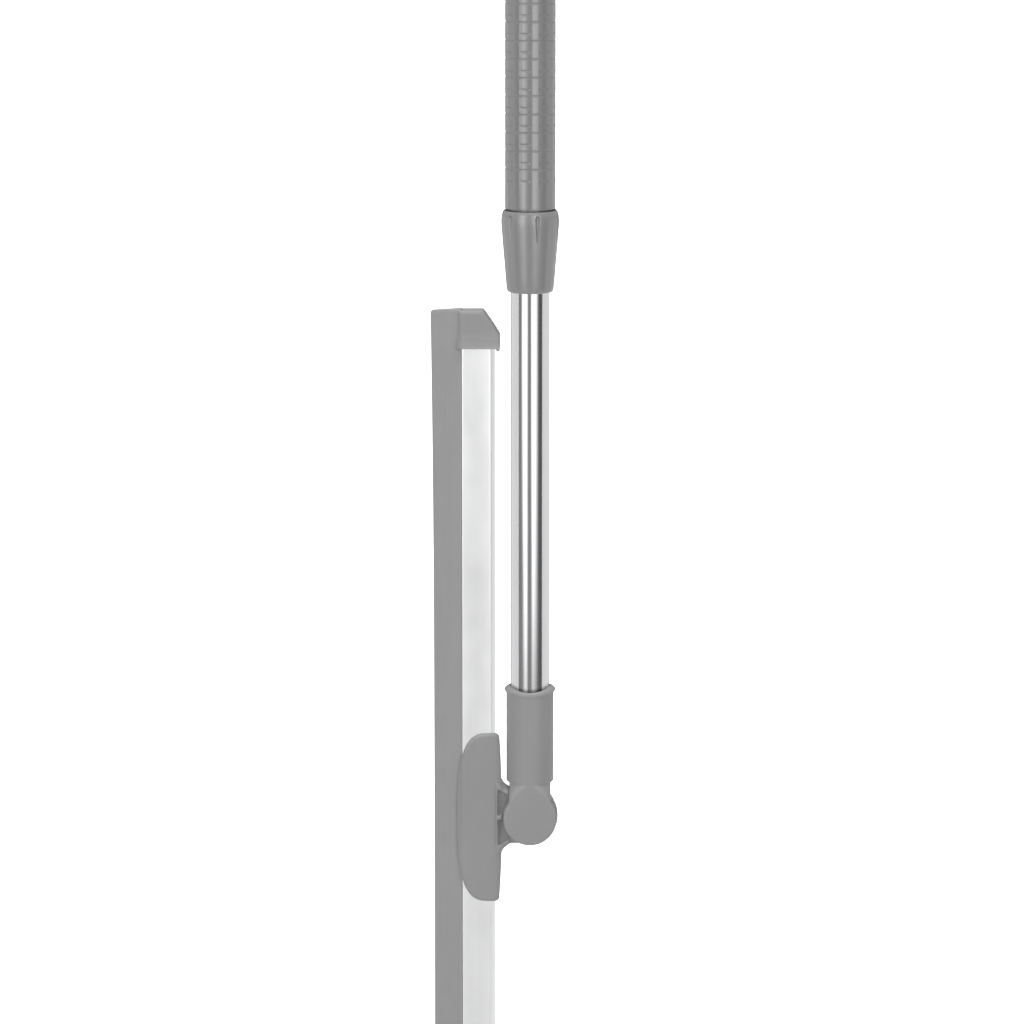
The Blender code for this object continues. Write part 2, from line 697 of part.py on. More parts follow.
def make_pivot_bracket(finish, parent):
    """The back half of the bracket, moulded in one with the spine, the arm and the tongue."""
    outline = mirrored(bracket_top(REAR_RIGHT_X, REAR_CORNER, REAR_HALF_HEIGHT))
    rear = plate(outline, BRACKET_INNER_DEPTH, BRACKET_OUTER_DEPTH)
    round_rim(rear, BRACKET_OUTER_DEPTH, 1.2 * MM)
    bracket = object_from("pivot_bracket", rear, parent, finish)
    join(bracket, plate(spine_outline(), -CHANNEL_HALF_DEPTH, BRACKET_INNER_DEPTH + 0.8 * MM))
    join(bracket, plate(flange_outline(), -FLANGE_HALF_DEPTH + 0.4 * MM, FLANGE_HALF_DEPTH + 0.6 * MM))
    join(bracket, plate(tongue_outline(), -TONGUE_HALF_DEPTH, TONGUE_HALF_DEPTH))
    cut(bracket, arm_pockets())
    reach = 2 * TONGUE_HALF_DEPTH
    cut(bracket, rod(PIVOT_SLEEVE_RADIUS + 0.25 * MM, -reach, reach, 24, across=True))
    head_seat = BRACKET_INNER_DEPTH + 0.8 * MM
    cut(bracket, clamp_rods(CLAMP_SHANK_RADIUS + GAP, BRACKET_INNER_DEPTH - 1 * MM, head_seat + 0.2 * MM))
    cut(bracket, clamp_rods(CLAMP_HEAD_RADIUS + GAP, head_seat, BRACKET_OUTER_DEPTH + 1 * MM))
    return bracket


def make_clamp_screw(index, finish, parent):
    """A screw from the back of the bracket into a boss of its cover."""
    tip = -CHANNEL_HALF_DEPTH + 1.6 * MM
    seat = BRACKET_INNER_DEPTH + 1.0 * MM
    crown = BRACKET_OUTER_DEPTH - 0.2 * MM
    outline = [
        (0, tip), (CLAMP_SHANK_RADIUS, tip + 0.8 * MM), (CLAMP_SHANK_RADIUS, seat), (CLAMP_HEAD_RADIUS, seat),
        (CLAMP_HEAD_RADIUS, crown - 0.4 * MM), (CLAMP_HEAD_RADIUS - 0.6 * MM, crown), (0, crown),
    ]
    shape = turned(outline, FINE_STEPS, across=True, centre=(BOSS_X, 0, CLAMP_SCREW_HEIGHTS[index]))
    return object_from(f"clamp_screw_{index + 1}", shape, parent, finish)


def channel_section():
    """Half the channel's section, from the mouth round to its back, as (x, y) with y towards the front."""
    outer = CHANNEL_HALF_DEPTH
    inner = CHANNEL_HALF_DEPTH - CHANNEL_WALL
    back = CHANNEL_BACK_X
    rib = 0.4 * MM
    rib_tip = 1.6 * MM
    lip = CHANNEL_MOUTH_X + CHANNEL_WALL
    return [
        (back, -outer + CHANNEL_CHAMFER), (back - CHANNEL_CHAMFER, -outer),
        (CHANNEL_MOUTH_X, -outer), (CHANNEL_MOUTH_X, -MOUTH_HALF_GAP), (lip, -MOUTH_HALF_GAP), (lip, -inner),
        (CHANNEL_RIB_X - rib, -inner), (CHANNEL_RIB_X - rib, -rib_tip),
        (CHANNEL_RIB_X + rib, -rib_tip), (CHANNEL_RIB_X + rib, -inner),
        (back - CHANNEL_CHAMFER - 0.5 * MM, -inner),
        (back - CHANNEL_WALL, -outer + CHANNEL_CHAMFER + 0.5 * MM),
    ]


def make_blade_channel(finish, parent):
    """The extruded aluminium channel that holds the rubber in its mouth."""
    half = channel_section()
    section = half + [(x, -y) for x, y in reversed(half)]
    foot = -CHANNEL_HALF_LENGTH
    shape = prism([(x, y, foot) for x, y in section], (0, 0, 2 * CHANNEL_HALF_LENGTH))
    channel = object_from("blade_channel", shape, parent, finish)
    inner = CHANNEL_HALF_DEPTH - CHANNEL_WALL
    cut(channel, clamp_rods(BOSS_RADIUS + GAP, -CHANNEL_HALF_DEPTH - 1 * MM, -inner + 1 * MM))
    cut(channel, clamp_rods(CLAMP_SHANK_RADIUS + GAP, inner - 1 * MM, CHANNEL_HALF_DEPTH + 1 * MM))
    return channel


def blade_stations():
    """Heights along the blade and how far its edge is drawn in there, rounded off at the two ends."""
    top = HEAD_HALF_LENGTH - 0.2 * MM
    upper = []
    for share in (0.0, 0.15, 0.45, 1.0):
        drop = BLADE_CORNER * share
        pulled = BLADE_CORNER - math.sqrt(BLADE_CORNER**2 - (BLADE_CORNER - drop) ** 2)
        upper.append((top - drop, pulled))
    steps = 10
    upper += [((top - BLADE_CORNER) * (1 - step / steps), 0.0) for step in range(1, steps + 1)]
    return upper + [(-height, pulled) for height, pulled in reversed(upper[:-1])]


def blade_edge_x(height):
    """The free edge bows out a little towards both ends of the head."""
    share = abs(height) / HEAD_HALF_LENGTH
    return CHANNEL_MOUTH_X - BLADE_REACH - BLADE_END_FLARE * share**3


def make_rubber_blade(finish, parent):
    """The wiping strip: a tapering blade outside the channel, and a neck and bead inside it."""
    root_x = CHANNEL_MOUTH_X - 0.4 * MM
    rings = []
    for height, pulled in blade_stations():
        edge_x = blade_edge_x(height) + pulled
        rings.append([
            (edge_x, -BLADE_EDGE_HALF_DEPTH, height), (root_x, -BLADE_ROOT_HALF_DEPTH, height),
            (root_x, BLADE_ROOT_HALF_DEPTH, height), (edge_x, BLADE_EDGE_HALF_DEPTH, height),
        ])
    rubber = object_from("rubber_blade", lofted(rings), parent, finish)
    neck = MOUTH_HALF_GAP - 0.4 * MM
    bead = CHANNEL_HALF_DEPTH - CHANNEL_WALL - 0.4 * MM
    bead_left = CHANNEL_MOUTH_X + CHANNEL_WALL + 0.4 * MM
    bead_right = CHANNEL_RIB_X - 0.8 * MM
    half = [(root_x - 1 * MM, -neck), (bead_left, -neck), (bead_left, -bead), (bead_right, -bead)]
    section = half + [(x, -y) for x, y in reversed(half)]
    length = CHANNEL_HALF_LENGTH - GAP
    join(rubber, prism([(x, y, -length) for x, y in section], (0, 0, 2 * length)))
    return rubber


def cap_outline():
    """The end cap seen from the front: flat on top, sloping down to its widest point by the handle."""
    slope_top_x = -22.8 * MM
    slope_foot = CAP_FOOT + 6.2 * MM
    crown = CAP_CROWN
    outline = [(CAP_LEFT_X, CAP_FOOT), (CAP_LEFT_X, crown)]
    steps = 6
    for step in range(steps + 1):
        share = step / steps
        bow = 0.3 * MM * math.sin(math.pi * share)
        x = slope_top_x + (CAP_RIGHT_X - slope_top_x) * share + bow
        outline.append((x, crown + (slope_foot - crown) * share))
    outline.append((CAP_RIGHT_X, CAP_FOOT))
    return outline


def skirt_outline():
    """The raised rim round the open end of the cap."""
    return [
        (CAP_LEFT_X - 0.2 * MM, CAP_FOOT), (CAP_LEFT_X - 0.2 * MM, CAP_FOOT + SKIRT_HEIGHT),
        (CAP_RIGHT_X - 1.2 * MM, CAP_FOOT + SKIRT_HEIGHT), (CAP_RIGHT_X - 0.2 * MM, CAP_FOOT + 2 * MM),
        (CAP_RIGHT_X - 0.2 * MM, CAP_FOOT - 1.2 * MM), (CAP_RIGHT_X - 1.8 * MM, CAP_FOOT - 1.2 * MM),
        (CAP_RIGHT_X - 2.1 * MM, CAP_FOOT),
    ]


def cap_skirt():
    """The skirt as a plate whose front and back swell towards its foot."""
    skirt = plate(skirt_outline(), -SKIRT_HALF_DEPTH, SKIRT_HALF_DEPTH)
    for vert in skirt.verts:
        if vert.co.z > CAP_FOOT + SKIRT_HEIGHT - 0.1 * MM:
            vert.co.y *= (CAP_HALF_DEPTH - 0.1 * MM) / SKIRT_HALF_DEPTH
    return skirt


def make_end_cap(name, side, finish, parent):
    """The cap on one end of the channel. It slides over the channel and plugs into it."""
    body = plate(cap_outline(), -CAP_HALF_DEPTH, CAP_HALF_DEPTH)
    round_rim(body, -CAP_HALF_DEPTH, 1.4 * MM)
    round_rim(body, CAP_HALF_DEPTH, 1.4 * MM)
    pocket_end = CHANNEL_HALF_LENGTH + GAP
    pocket_side = CHANNEL_HALF_DEPTH + GAP
    pocket = block(
        (CHANNEL_MOUTH_X - GAP, -pocket_side, CAP_FOOT - 8 * MM),
        (CHANNEL_BACK_X + GAP, pocket_side, pocket_end),
    )
    slot_side = BLADE_ROOT_HALF_DEPTH + GAP
    slot = block(
        (CAP_LEFT_X - 4 * MM, -slot_side, CAP_FOOT - 8 * MM),
        (CHANNEL_MOUTH_X + 0.1 * MM, slot_side, HEAD_HALF_LENGTH + 4 * MM),
    )
    plug_side = CHANNEL_HALF_DEPTH - CHANNEL_WALL - 0.4 * MM
    plug = block(
        (CHANNEL_RIB_X + 0.8 * MM, -plug_side, CHANNEL_HALF_LENGTH - 16 * MM),
        (CHANNEL_BACK_X - 2.6 * MM, plug_side, pocket_end + 1 * MM),
    )
    shapes = [body, cap_skirt(), pocket, slot, plug]
    if side < 0:
        for shape in shapes:
            bmesh.ops.scale(shape, vec=(1, 1, -1), verts=shape.verts)
            bmesh.ops.reverse_faces(shape, faces=shape.faces)
    body, skirt, pocket, slot, plug = shapes
    cap = object_from(name, body, parent, finish)
    join(cap, skirt)
    cut(cap, pocket)
    cut(cap, slot)
    join(cap, plug)
    return cap


# ---------------------------------------------------------------- assembly


def make_finishes():
    return {
        "grey_plastic": finish_of("grey_plastic", (0.30, 0.30, 0.31), 0.5),
        "grip_plastic": finish_of("grip_plastic", (0.26, 0.26, 0.27), 0.3),
        "inner_plastic": finish_of("inner_plastic", (0.12, 0.12, 0.13), 0.5),
        "washer_plastic": finish_of("washer_plastic", (0.75, 0.75, 0.72), 0.5),
        "chrome": finish_of("chrome", (0.85, 0.86, 0.87), 0.1, 1.0),
        "steel": finish_of("steel", (0.55, 0.56, 0.57), 0.35, 1.0),
        "aluminium": finish_of("aluminium", (0.80, 0.81, 0.82), 0.4, 1.0),
        "rubber": finish_of("rubber", (0.31, 0.31, 0.32), 0.7),
    }


def make_handle(finishes, handle, collar_turn):
    make_outer_tube(finishes["steel"], handle)
    make_grip_sleeve(finishes["grip_plastic"], handle)
    make_top_cap(finishes["grip_plastic"], handle)
    make_lock_sleeve(finishes["inner_plastic"], handle)
    make_collet_ring(finishes["inner_plastic"], handle)
    make_lock_collar(finishes["grip_plastic"], collar_turn)


def make_lower_pole(finishes, pole_slide):
    make_inner_tube(finishes["chrome"], pole_slide)
    make_guide_plug(finishes["inner_plastic"], pole_slide)
    make_pole_socket(finishes["grey_plastic"], pole_slide)
    make_socket_screw(finishes["steel"], pole_slide)
    make_pivot_screw(finishes["steel"], pole_slide)
    make_pivot_nut(finishes["steel"], pole_slide)
    make_pivot_sleeve(finishes["steel"], pole_slide)
    make_friction_washer("friction_washer_front", -1, finishes["washer_plastic"], pole_slide)
    make_friction_washer("friction_washer_rear", 1, finishes["washer_plastic"], pole_slide)
    make_screw_cap(finishes["grey_plastic"], pole_slide)


def make_head(finishes, head_pivot):
    make_blade_channel(finishes["aluminium"], head_pivot)
    make_rubber_blade(finishes["rubber"], head_pivot)
    make_end_cap("end_cap_top", 1, finishes["grey_plastic"], head_pivot)
    make_end_cap("end_cap_bottom", -1, finishes["grey_plastic"], head_pivot)
    make_bracket_cover(finishes["grey_plastic"], head_pivot)
    make_pivot_bracket(finishes["grey_plastic"], head_pivot)
    for index in range(len(CLAMP_SCREW_HEIGHTS)):
        make_clamp_screw(index, finishes["steel"], head_pivot)


def main():
    clear_scene()
    finishes = make_finishes()
    handle = empty_at("handle_axis", location=(0, 0, -EYE_HEIGHT))
    collar_turn = empty_at("lock_collar_axis", handle)
    pole_slide = empty_at("lower_pole_axis", handle)
    head_pivot = empty_at("head_pivot_axis", pole_slide)
    make_handle(finishes, handle, collar_turn)
    make_lower_pole(finishes, pole_slide)
    make_head(finishes, head_pivot)
    bpy.context.view_layer.update()
    for obj in [each for each in bpy.data.objects if not each.hide_render]:
        settle(obj)


main()
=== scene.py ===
"""The looks of the telescopic window squeegee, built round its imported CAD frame.

Every size is in metres and every place is in the frame of the CAD: the origin is the centre of the
hanging eye, +Z is up along the handle, the front faces -Y and the folded head lies on the -X side. The
pieces that show are detailed meshes, which stand for their plain CAD nodes. The hidden ones keep their CAD
shape.
"""

import json
import math

import bmesh
import bpy
import numpy as np
from mathutils import Matrix, Vector

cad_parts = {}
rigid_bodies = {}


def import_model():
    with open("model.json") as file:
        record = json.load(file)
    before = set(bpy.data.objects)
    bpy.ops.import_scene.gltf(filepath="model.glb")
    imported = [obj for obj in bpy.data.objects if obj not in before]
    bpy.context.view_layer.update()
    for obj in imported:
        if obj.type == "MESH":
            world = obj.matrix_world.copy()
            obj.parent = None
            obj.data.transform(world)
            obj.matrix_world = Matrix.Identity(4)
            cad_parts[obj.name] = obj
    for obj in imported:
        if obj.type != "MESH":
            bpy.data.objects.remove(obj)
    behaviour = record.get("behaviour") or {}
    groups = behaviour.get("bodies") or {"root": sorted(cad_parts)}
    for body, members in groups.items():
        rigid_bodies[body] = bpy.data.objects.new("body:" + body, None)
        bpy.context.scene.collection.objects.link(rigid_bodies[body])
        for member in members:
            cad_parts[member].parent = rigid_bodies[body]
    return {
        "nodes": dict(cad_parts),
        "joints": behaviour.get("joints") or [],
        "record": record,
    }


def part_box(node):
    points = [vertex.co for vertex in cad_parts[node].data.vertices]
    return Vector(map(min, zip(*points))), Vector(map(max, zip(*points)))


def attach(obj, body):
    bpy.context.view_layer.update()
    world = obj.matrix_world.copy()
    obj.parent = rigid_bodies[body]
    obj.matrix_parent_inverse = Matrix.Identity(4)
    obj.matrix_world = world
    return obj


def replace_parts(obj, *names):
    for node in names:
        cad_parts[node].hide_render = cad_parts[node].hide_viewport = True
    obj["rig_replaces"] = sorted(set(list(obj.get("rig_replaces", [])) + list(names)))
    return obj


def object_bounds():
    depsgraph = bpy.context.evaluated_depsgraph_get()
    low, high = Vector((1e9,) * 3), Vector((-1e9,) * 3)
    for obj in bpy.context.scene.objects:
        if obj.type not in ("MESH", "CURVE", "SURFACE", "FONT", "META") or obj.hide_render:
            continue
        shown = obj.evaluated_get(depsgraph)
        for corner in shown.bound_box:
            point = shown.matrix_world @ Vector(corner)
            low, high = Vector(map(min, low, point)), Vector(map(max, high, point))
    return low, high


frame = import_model()
cad_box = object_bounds()

MM = 0.001
JOINTS = {joint["name"]: joint for joint in frame["joints"]}
PIVOT_Z = JOINTS["head_fold"]["pos_m"][2]
BODY_OF = {node: body for body, nodes in frame["record"]["behaviour"]["bodies"].items() for node in nodes}
SLOT_OF = {part["node"]: part["material_slot"] for part in frame["record"]["subparts"]}

# The tube at the socket's lip, which both the shade painted on the chrome and the socket's shape go by.
TUBE_RADIUS = 9.5 * MM
SOCKET_HEIGHT = 66.4 * MM
LIP_DIP = 2.1 * MM
# Painted shade on the chrome just above the lip: how dark it gets, and where it starts and fades out above
# the lip's crest.
LIP_SHADE_TONE = 0.3
LIP_SHADE_START = 0.2 * MM
LIP_SHADE_END = 1.9 * MM


def ramp(value, start, end):
    """A smooth step from 0 at start to 1 at end."""
    share = min(1, max(0, (value - start) / (end - start)))
    return share * share * (3 - 2 * share)


# ---------------------------------------------------------------- materials


class Shader:
    """A material's node tree, with short calls for the nodes that the finishes share."""

    def __init__(self, name, metallic=0.0, specular=0.5):
        self.material = bpy.data.materials.new(name)
        self.material.use_nodes = True
        self.tree = self.material.node_tree
        self.principled = self.tree.nodes["Principled BSDF"]
        self.principled.inputs["Metallic"].default_value = metallic
        self.principled.inputs["Specular IOR Level"].default_value = specular
        self.place = self.tree.nodes.new("ShaderNodeTexCoord").outputs["Object"]
        self.normal = None

    def link(self, source, target):
        self.tree.links.new(source, target)

    def stretched(self, stretch):
        """Object coordinates, scaled differently along each axis."""
        mapping = self.tree.nodes.new("ShaderNodeMapping")
        mapping.inputs["Scale"].default_value = stretch
        self.link(self.place, mapping.inputs["Vector"])
        return mapping.outputs["Vector"]

    def noise(self, size, stretch=(1, 1, 1), detail=3.0, roughness=0.55):
        """Noise from 0 to 1 whose features are about size across, in metres."""
        made = self.tree.nodes.new("ShaderNodeTexNoise")
        made.inputs["Scale"].default_value = 1 / size
        made.inputs["Detail"].default_value = detail
        made.inputs["Roughness"].default_value = roughness
        self.link(self.stretched(stretch), made.inputs["Vector"])
        return made.outputs["Fac"]

    def remap(self, value, low, high, start=0.3, end=0.7):
        """Carries the values from start to end over to the range from low to high."""
        made = self.tree.nodes.new("ShaderNodeMapRange")
        made.inputs["From Min"].default_value = start
        made.inputs["From Max"].default_value = end
        made.inputs["To Min"].default_value = low
        made.inputs["To Max"].default_value = high
        self.link(value, made.inputs["Value"])
        return made.outputs["Result"]

    def combine(self, first, second, operation="ADD"):
        made = self.tree.nodes.new("ShaderNodeMath")
        made.operation = operation
        self.link(first, made.inputs[0])
        self.link(second, made.inputs[1])
        return made.outputs["Value"]

    def blend(self, share, first, second):
        """A colour between two colours."""
        made = self.tree.nodes.new("ShaderNodeMix")
        made.data_type = "RGBA"
        made.inputs["A"].default_value = (*first, 1)
        made.inputs["B"].default_value = (*second, 1)
        self.link(share, made.inputs["Factor"])
        return made.outputs["Result"]

    def shaded(self, colour, share):
        """A linked colour multiplied by a grey share."""
        made = self.tree.nodes.new("ShaderNodeMix")
        made.data_type = "RGBA"
        made.blend_type = "MULTIPLY"
        made.inputs["Factor"].default_value = 1.0
        self.link(colour, made.inputs["A"])
        self.link(share, made.inputs["B"])
        return made.outputs["Result"]

    def painted_lip_shade(self):
        """Painted shade and reflection: a dark line on the tube just above the socket's lip, in place of
        the lip's shadow and mirror image; it dips at its front and back.
        """
        axes = self.tree.nodes.new("ShaderNodeSeparateXYZ")
        self.link(self.stretched((1, math.sqrt(LIP_DIP) / TUBE_RADIUS, 1)), axes.inputs["Vector"])
        dip = self.combine(axes.outputs["Y"], axes.outputs["Y"], "MULTIPLY")
        level = self.combine(axes.outputs["Z"], dip)
        crest = PIVOT_Z + SOCKET_HEIGHT
        return self.remap(level, LIP_SHADE_TONE, 1.0, crest + LIP_SHADE_START, crest + LIP_SHADE_END)

    def bump(self, height, depth):
        """Adds a relief of the given depth, in metres, to the surface."""
        made = self.tree.nodes.new("ShaderNodeBump")
        made.inputs["Distance"].default_value = depth
        self.link(height, made.inputs["Height"])
        if self.normal:
            self.link(self.normal, made.inputs["Normal"])
        self.normal = made.outputs["Normal"]

    def done(self, colour, roughness):
        self.link(colour, self.principled.inputs["Base Color"])
        self.link(roughness, self.principled.inputs["Roughness"])
        if self.normal:
            self.link(self.normal, self.principled.inputs["Normal"])
        return self.material


def moulded_plastic(name, tone, roughness, grain=0.02 * MM, specular=0.5):
    """Grey moulded plastic: faint flow marks, a spark-eroded grain and slightly uneven gloss."""
    shader = Shader(name, specular=specular)
    flow = shader.noise(14 * MM, stretch=(1, 1, 0.35), detail=4)
    speckle = shader.noise(0.6 * MM, detail=2)
    share = shader.combine(shader.remap(flow, 0.0, 0.75), shader.remap(speckle, 0.0, 0.25))
    colour = shader.blend(share, [0.95 * c for c in tone], [1.05 * c for c in tone])
    gloss = shader.remap(shader.noise(5 * MM, detail=5), roughness - 0.04, roughness + 0.05)
    shader.bump(shader.noise(0.35 * MM, detail=2), grain)
    shader.bump(flow, 0.05 * MM)
    return shader.done(colour, gloss)


def rubber(name, tone):
    """Matte rubber with faint extrusion lines along the blade and a dusty bloom."""
    shader = Shader(name, specular=0.35)
    lines = shader.noise(0.9 * MM, stretch=(1, 1, 0.02), detail=4)
    bloom = shader.noise(11 * MM, stretch=(1, 1, 0.5), detail=5)
    share = shader.combine(shader.remap(bloom, 0.0, 0.6), shader.remap(lines, 0.0, 0.4))
    colour = shader.blend(share, [0.94 * c for c in tone], [1.06 * c for c in tone])
    shader.bump(lines, 0.05 * MM)
    shader.bump(shader.noise(0.3 * MM, detail=2), 0.02 * MM)
    return shader.done(colour, shader.remap(bloom, 0.58, 0.72))


def satin_aluminium(name, tone):
    """Anodised extrusion: fine lines along its length, cloudy gloss and a few soft smudges."""
    shader = Shader(name, metallic=1.0)
    lines = shader.noise(0.5 * MM, stretch=(1, 1, 0.012), detail=5, roughness=0.7)
    broad = shader.noise(3 * MM, stretch=(1, 1, 0.02), detail=2)
    smudge = shader.noise(16 * MM, detail=4)
    share = shader.combine(shader.remap(broad, 0.0, 0.5), shader.remap(smudge, 0.0, 0.5))
    colour = shader.blend(share, [0.96 * c for c in tone], tone)
    gloss = shader.combine(shader.remap(lines, -0.03, 0.03), shader.remap(smudge, 0.35, 0.4))
    shader.bump(lines, 0.012 * MM)
    return shader.done(colour, gloss)


def bright_chrome(name, tone):
    """Chrome plating on drawn tube: a slight waver along its length, hairline marks, and a line of painted
    shade just above the socket's lip.
    """
    shader = Shader(name, metallic=1.0)
    waver = shader.noise(9 * MM, stretch=(1, 1, 0.12), detail=2)
    hairs = shader.noise(0.5 * MM, stretch=(1, 1, 0.01), detail=3)
    cloud = shader.noise(18 * MM, stretch=(1, 1, 0.4), detail=4)
    plain = shader.blend(shader.remap(cloud, 0.0, 1.0), [0.97 * c for c in tone], tone)
    # Painted shade: the colour darkens in a line just above the socket's lip, standing in for the lip's
    # shadow and reflection.
    colour = shader.shaded(plain, shader.painted_lip_shade())
    gloss = shader.combine(shader.remap(cloud, 0.11, 0.14), shader.remap(hairs, -0.01, 0.02))
    shader.bump(waver, 0.035 * MM)
    shader.bump(hairs, 0.0015 * MM)
    return shader.done(colour, gloss)


def plated_steel(name, tone, roughness):
    """Zinc-plated steel with a mottled dull gloss."""
    shader = Shader(name, metallic=1.0)
    mottle = shader.noise(1.2 * MM, detail=5)
    colour = shader.blend(shader.remap(mottle, 0.0, 1.0), [0.86 * c for c in tone], tone)
    shader.bump(shader.noise(0.25 * MM, detail=2), 0.006 * MM)
    return shader.done(colour, shader.remap(mottle, roughness - 0.06, roughness + 0.08))


def make_materials():
    """One material for each slot of the record."""
    return {
        "steel_tube": plated_steel("drawn_steel", (0.55, 0.56, 0.57), 0.34),
        "chrome_tube": bright_chrome("chrome", (0.62, 0.62, 0.63)),
        "grip_plastic": moulded_plastic(
            "grip_plastic", (0.193, 0.193, 0.195), 0.17, 0.003 * MM, 0.75,
        ),
        "collar_plastic": moulded_plastic(
            "collar_plastic", (0.214, 0.214, 0.216), 0.19, 0.003 * MM, 0.75,
        ),
        "inner_plastic": moulded_plastic("inner_plastic", (0.06, 0.06, 0.062), 0.5),
        "grey_plastic": moulded_plastic("grey_plastic", (0.238, 0.238, 0.24), 0.46),
        "washer_plastic": moulded_plastic("washer_plastic", (0.70, 0.70, 0.66), 0.4),
        "steel_screws": plated_steel("screw_steel", (0.56, 0.57, 0.58), 0.3),
        "aluminium_channel": satin_aluminium("satin_aluminium", (0.82, 0.823, 0.827)),
        "rubber_blade": rubber("grey_rubber", (0.262, 0.262, 0.264)),
    }


# ---------------------------------------------------------------- mesh tools


def smooth_shaded(mesh, sharp_degrees):
    mesh.shade_smooth()
    if sharp_degrees:
        mesh.set_sharp_from_angle(angle=math.radians(sharp_degrees))


def add_piece(name, mesh, node, materials):
    """Puts a finished mesh in the scene in place of a CAD node."""
    piece = bpy.data.objects.new(name, mesh)
    bpy.context.scene.collection.objects.link(piece)
    mesh.materials.clear()
    mesh.materials.append(materials[SLOT_OF[node]])
    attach(piece, BODY_OF[node])
    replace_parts(piece, node)


def mesh_of(name, points, faces, sharp_degrees=0):
    mesh = bpy.data.meshes.new(name)
    mesh.from_pydata([tuple(point) for point in points], [], faces)
    bm = bmesh.new()
    bm.from_mesh(mesh)
    bmesh.ops.recalc_face_normals(bm, faces=bm.faces)
    bm.to_mesh(mesh)
    bm.free()
    smooth_shaded(mesh, sharp_degrees)
    return mesh


def wrapped(rows, loop):
    """Points and faces of a grid of rings. With loop the last joins the first, or else both ends close."""
    rings, steps = rows.shape[:2]
    faces = []
    for ring in range(rings if loop else rings - 1):
        low = ring * steps
        high = (ring + 1) % rings * steps
        for step in range(steps):
            after = (step + 1) % steps
            faces.append((low + step, low + after, high + after, high + step))
    if not loop:
        faces.append(tuple(range(steps)))
        faces.append(tuple(range((rings - 1) * steps, rings * steps)))
    return rows.reshape(-1, 3), faces


def ring_grid(radii, heights, angles):
    """Points on circles about Z. radii has one row for each height and one column for each angle."""
    across = np.broadcast_to(radii, (len(heights), len(angles)))
    up = np.broadcast_to(np.array(heights)[:, None], across.shape)
    return np.stack([across * np.sin(angles), -across * np.cos(angles), up], axis=2)


def smooth_curve(points, per_span=8):
    """A Catmull-Rom curve through the given points."""
    path = [np.array(point, float) for point in points]
    padded = [2 * path[0] - path[1]] + path + [2 * path[-1] - path[-2]]
    curve = []
    for before, start, end, after in zip(padded, padded[1:], padded[2:], padded[3:]):
        for step in range(per_span):
            t = step / per_span
            curve.append(0.5 * (
                2 * start + (end - before) * t + (2 * before - 5 * start + 4 * end - after) * t**2
                + (3 * start - before - 3 * end + after) * t**3
            ))
    return curve + [path[-1]]


def arc(centre_x, centre_z, radius, start, end, steps):
    """Points on a circle, from one angle in degrees to another."""
    turns = [math.radians(start + (end - start) * i / steps) for i in range(steps + 1)]
    return [(centre_x + radius * math.cos(a), centre_z + radius * math.sin(a)) for a in turns]


def prism(corners, along):
    """A closed solid: the polygon through corners, extruded by the vector along."""
    bm = bmesh.new()
    face = bm.faces.new([bm.verts.new(corner) for corner in corners])
    grown = bmesh.ops.extrude_face_region(bm, geom=[face])["geom"]
    bmesh.ops.translate(bm, verts=[v for v in grown if isinstance(v, bmesh.types.BMVert)], vec=along)
    bmesh.ops.recalc_face_normals(bm, faces=bm.faces)
    return bm


def plate(outline, front, back):
    """An outline of (x, z) points, extruded along Y."""
    return prism([(x, front, z) for x, z in outline], (0, back - front, 0))


def block(low, high):
    (x0, y0, z0), (x1, y1, z1) = low, high
    return plate([(x0, z0), (x1, z0), (x1, z1), (x0, z1)], y0, y1)


def turned(outline, centre=(0, 0, 0), across=False, steps=96):
    """A solid of revolution about Z, or about Y if across, from a (radius, height) outline."""
    angles = np.linspace(0, math.tau, steps, endpoint=False)
    bm = bmesh.new()
    rings = []
    for radius, height in outline:
        if radius == 0:
            rings.append([bm.verts.new((0, 0, height))] * steps)
        else:
            rings.append([
                bm.verts.new((radius * math.sin(angle), -radius * math.cos(angle), height))
                for angle in angles
            ])
    closed = outline[0][0] > 0
    for low, high in zip(rings, rings[1:] + rings[:1] if closed else rings[1:]):
        for step in range(steps):
            after = (step + 1) % steps
            corners = list(dict.fromkeys((low[step], low[after], high[after], high[step])))
            bm.faces.new(corners)
    if across:
        bmesh.ops.transform(bm, matrix=Matrix.Rotation(-math.pi / 2, 4, "X"), verts=bm.verts)
    bmesh.ops.translate(bm, verts=bm.verts, vec=centre)
    bmesh.ops.recalc_face_normals(bm, faces=bm.faces)
    return bm


def helper_object(name, source):
    """A working object from a bmesh, or from a copy of a CAD node's mesh."""
    if isinstance(source, str):
        mesh = frame["nodes"][source].data.copy()
    else:
        mesh = bpy.data.meshes.new(name)
        source.to_mesh(mesh)
        source.free()
    made = bpy.data.objects.new(name, mesh)
    bpy.context.scene.collection.objects.link(made)
    return made


def sculpted(name, base, joins=(), cuts=(), voxel=0.35 * MM, rounds=6):
    """Joins and cuts solids, then remeshes the result finely and softens its edges, as moulding does."""
    body = helper_object(name, base)
    helpers = []
    for operation, shapes in (("UNION", joins), ("DIFFERENCE", cuts)):
        for shape in shapes:
            helper = helper_object(name + "_helper", shape)
            modifier = body.modifiers.new("Boolean", "BOOLEAN")
            modifier.operation = operation
            modifier.object = helper
            helpers.append(helper)
    if voxel:
        remesh = body.modifiers.new("Remesh", "REMESH")
        remesh.mode = "VOXEL"
        remesh.voxel_size = voxel
        soften = body.modifiers.new("Smooth", "SMOOTH")
        soften.factor = 0.5
        soften.iterations = rounds
    bpy.context.view_layer.update()
    graph = bpy.context.evaluated_depsgraph_get()
    mesh = bpy.data.meshes.new_from_object(body.evaluated_get(graph))
    for each in [body] + helpers:
        bpy.data.objects.remove(each)
    mesh.name = name
    smooth_shaded(mesh, 0 if voxel else 30)
    return mesh


# ---------------------------------------------------------------- handle

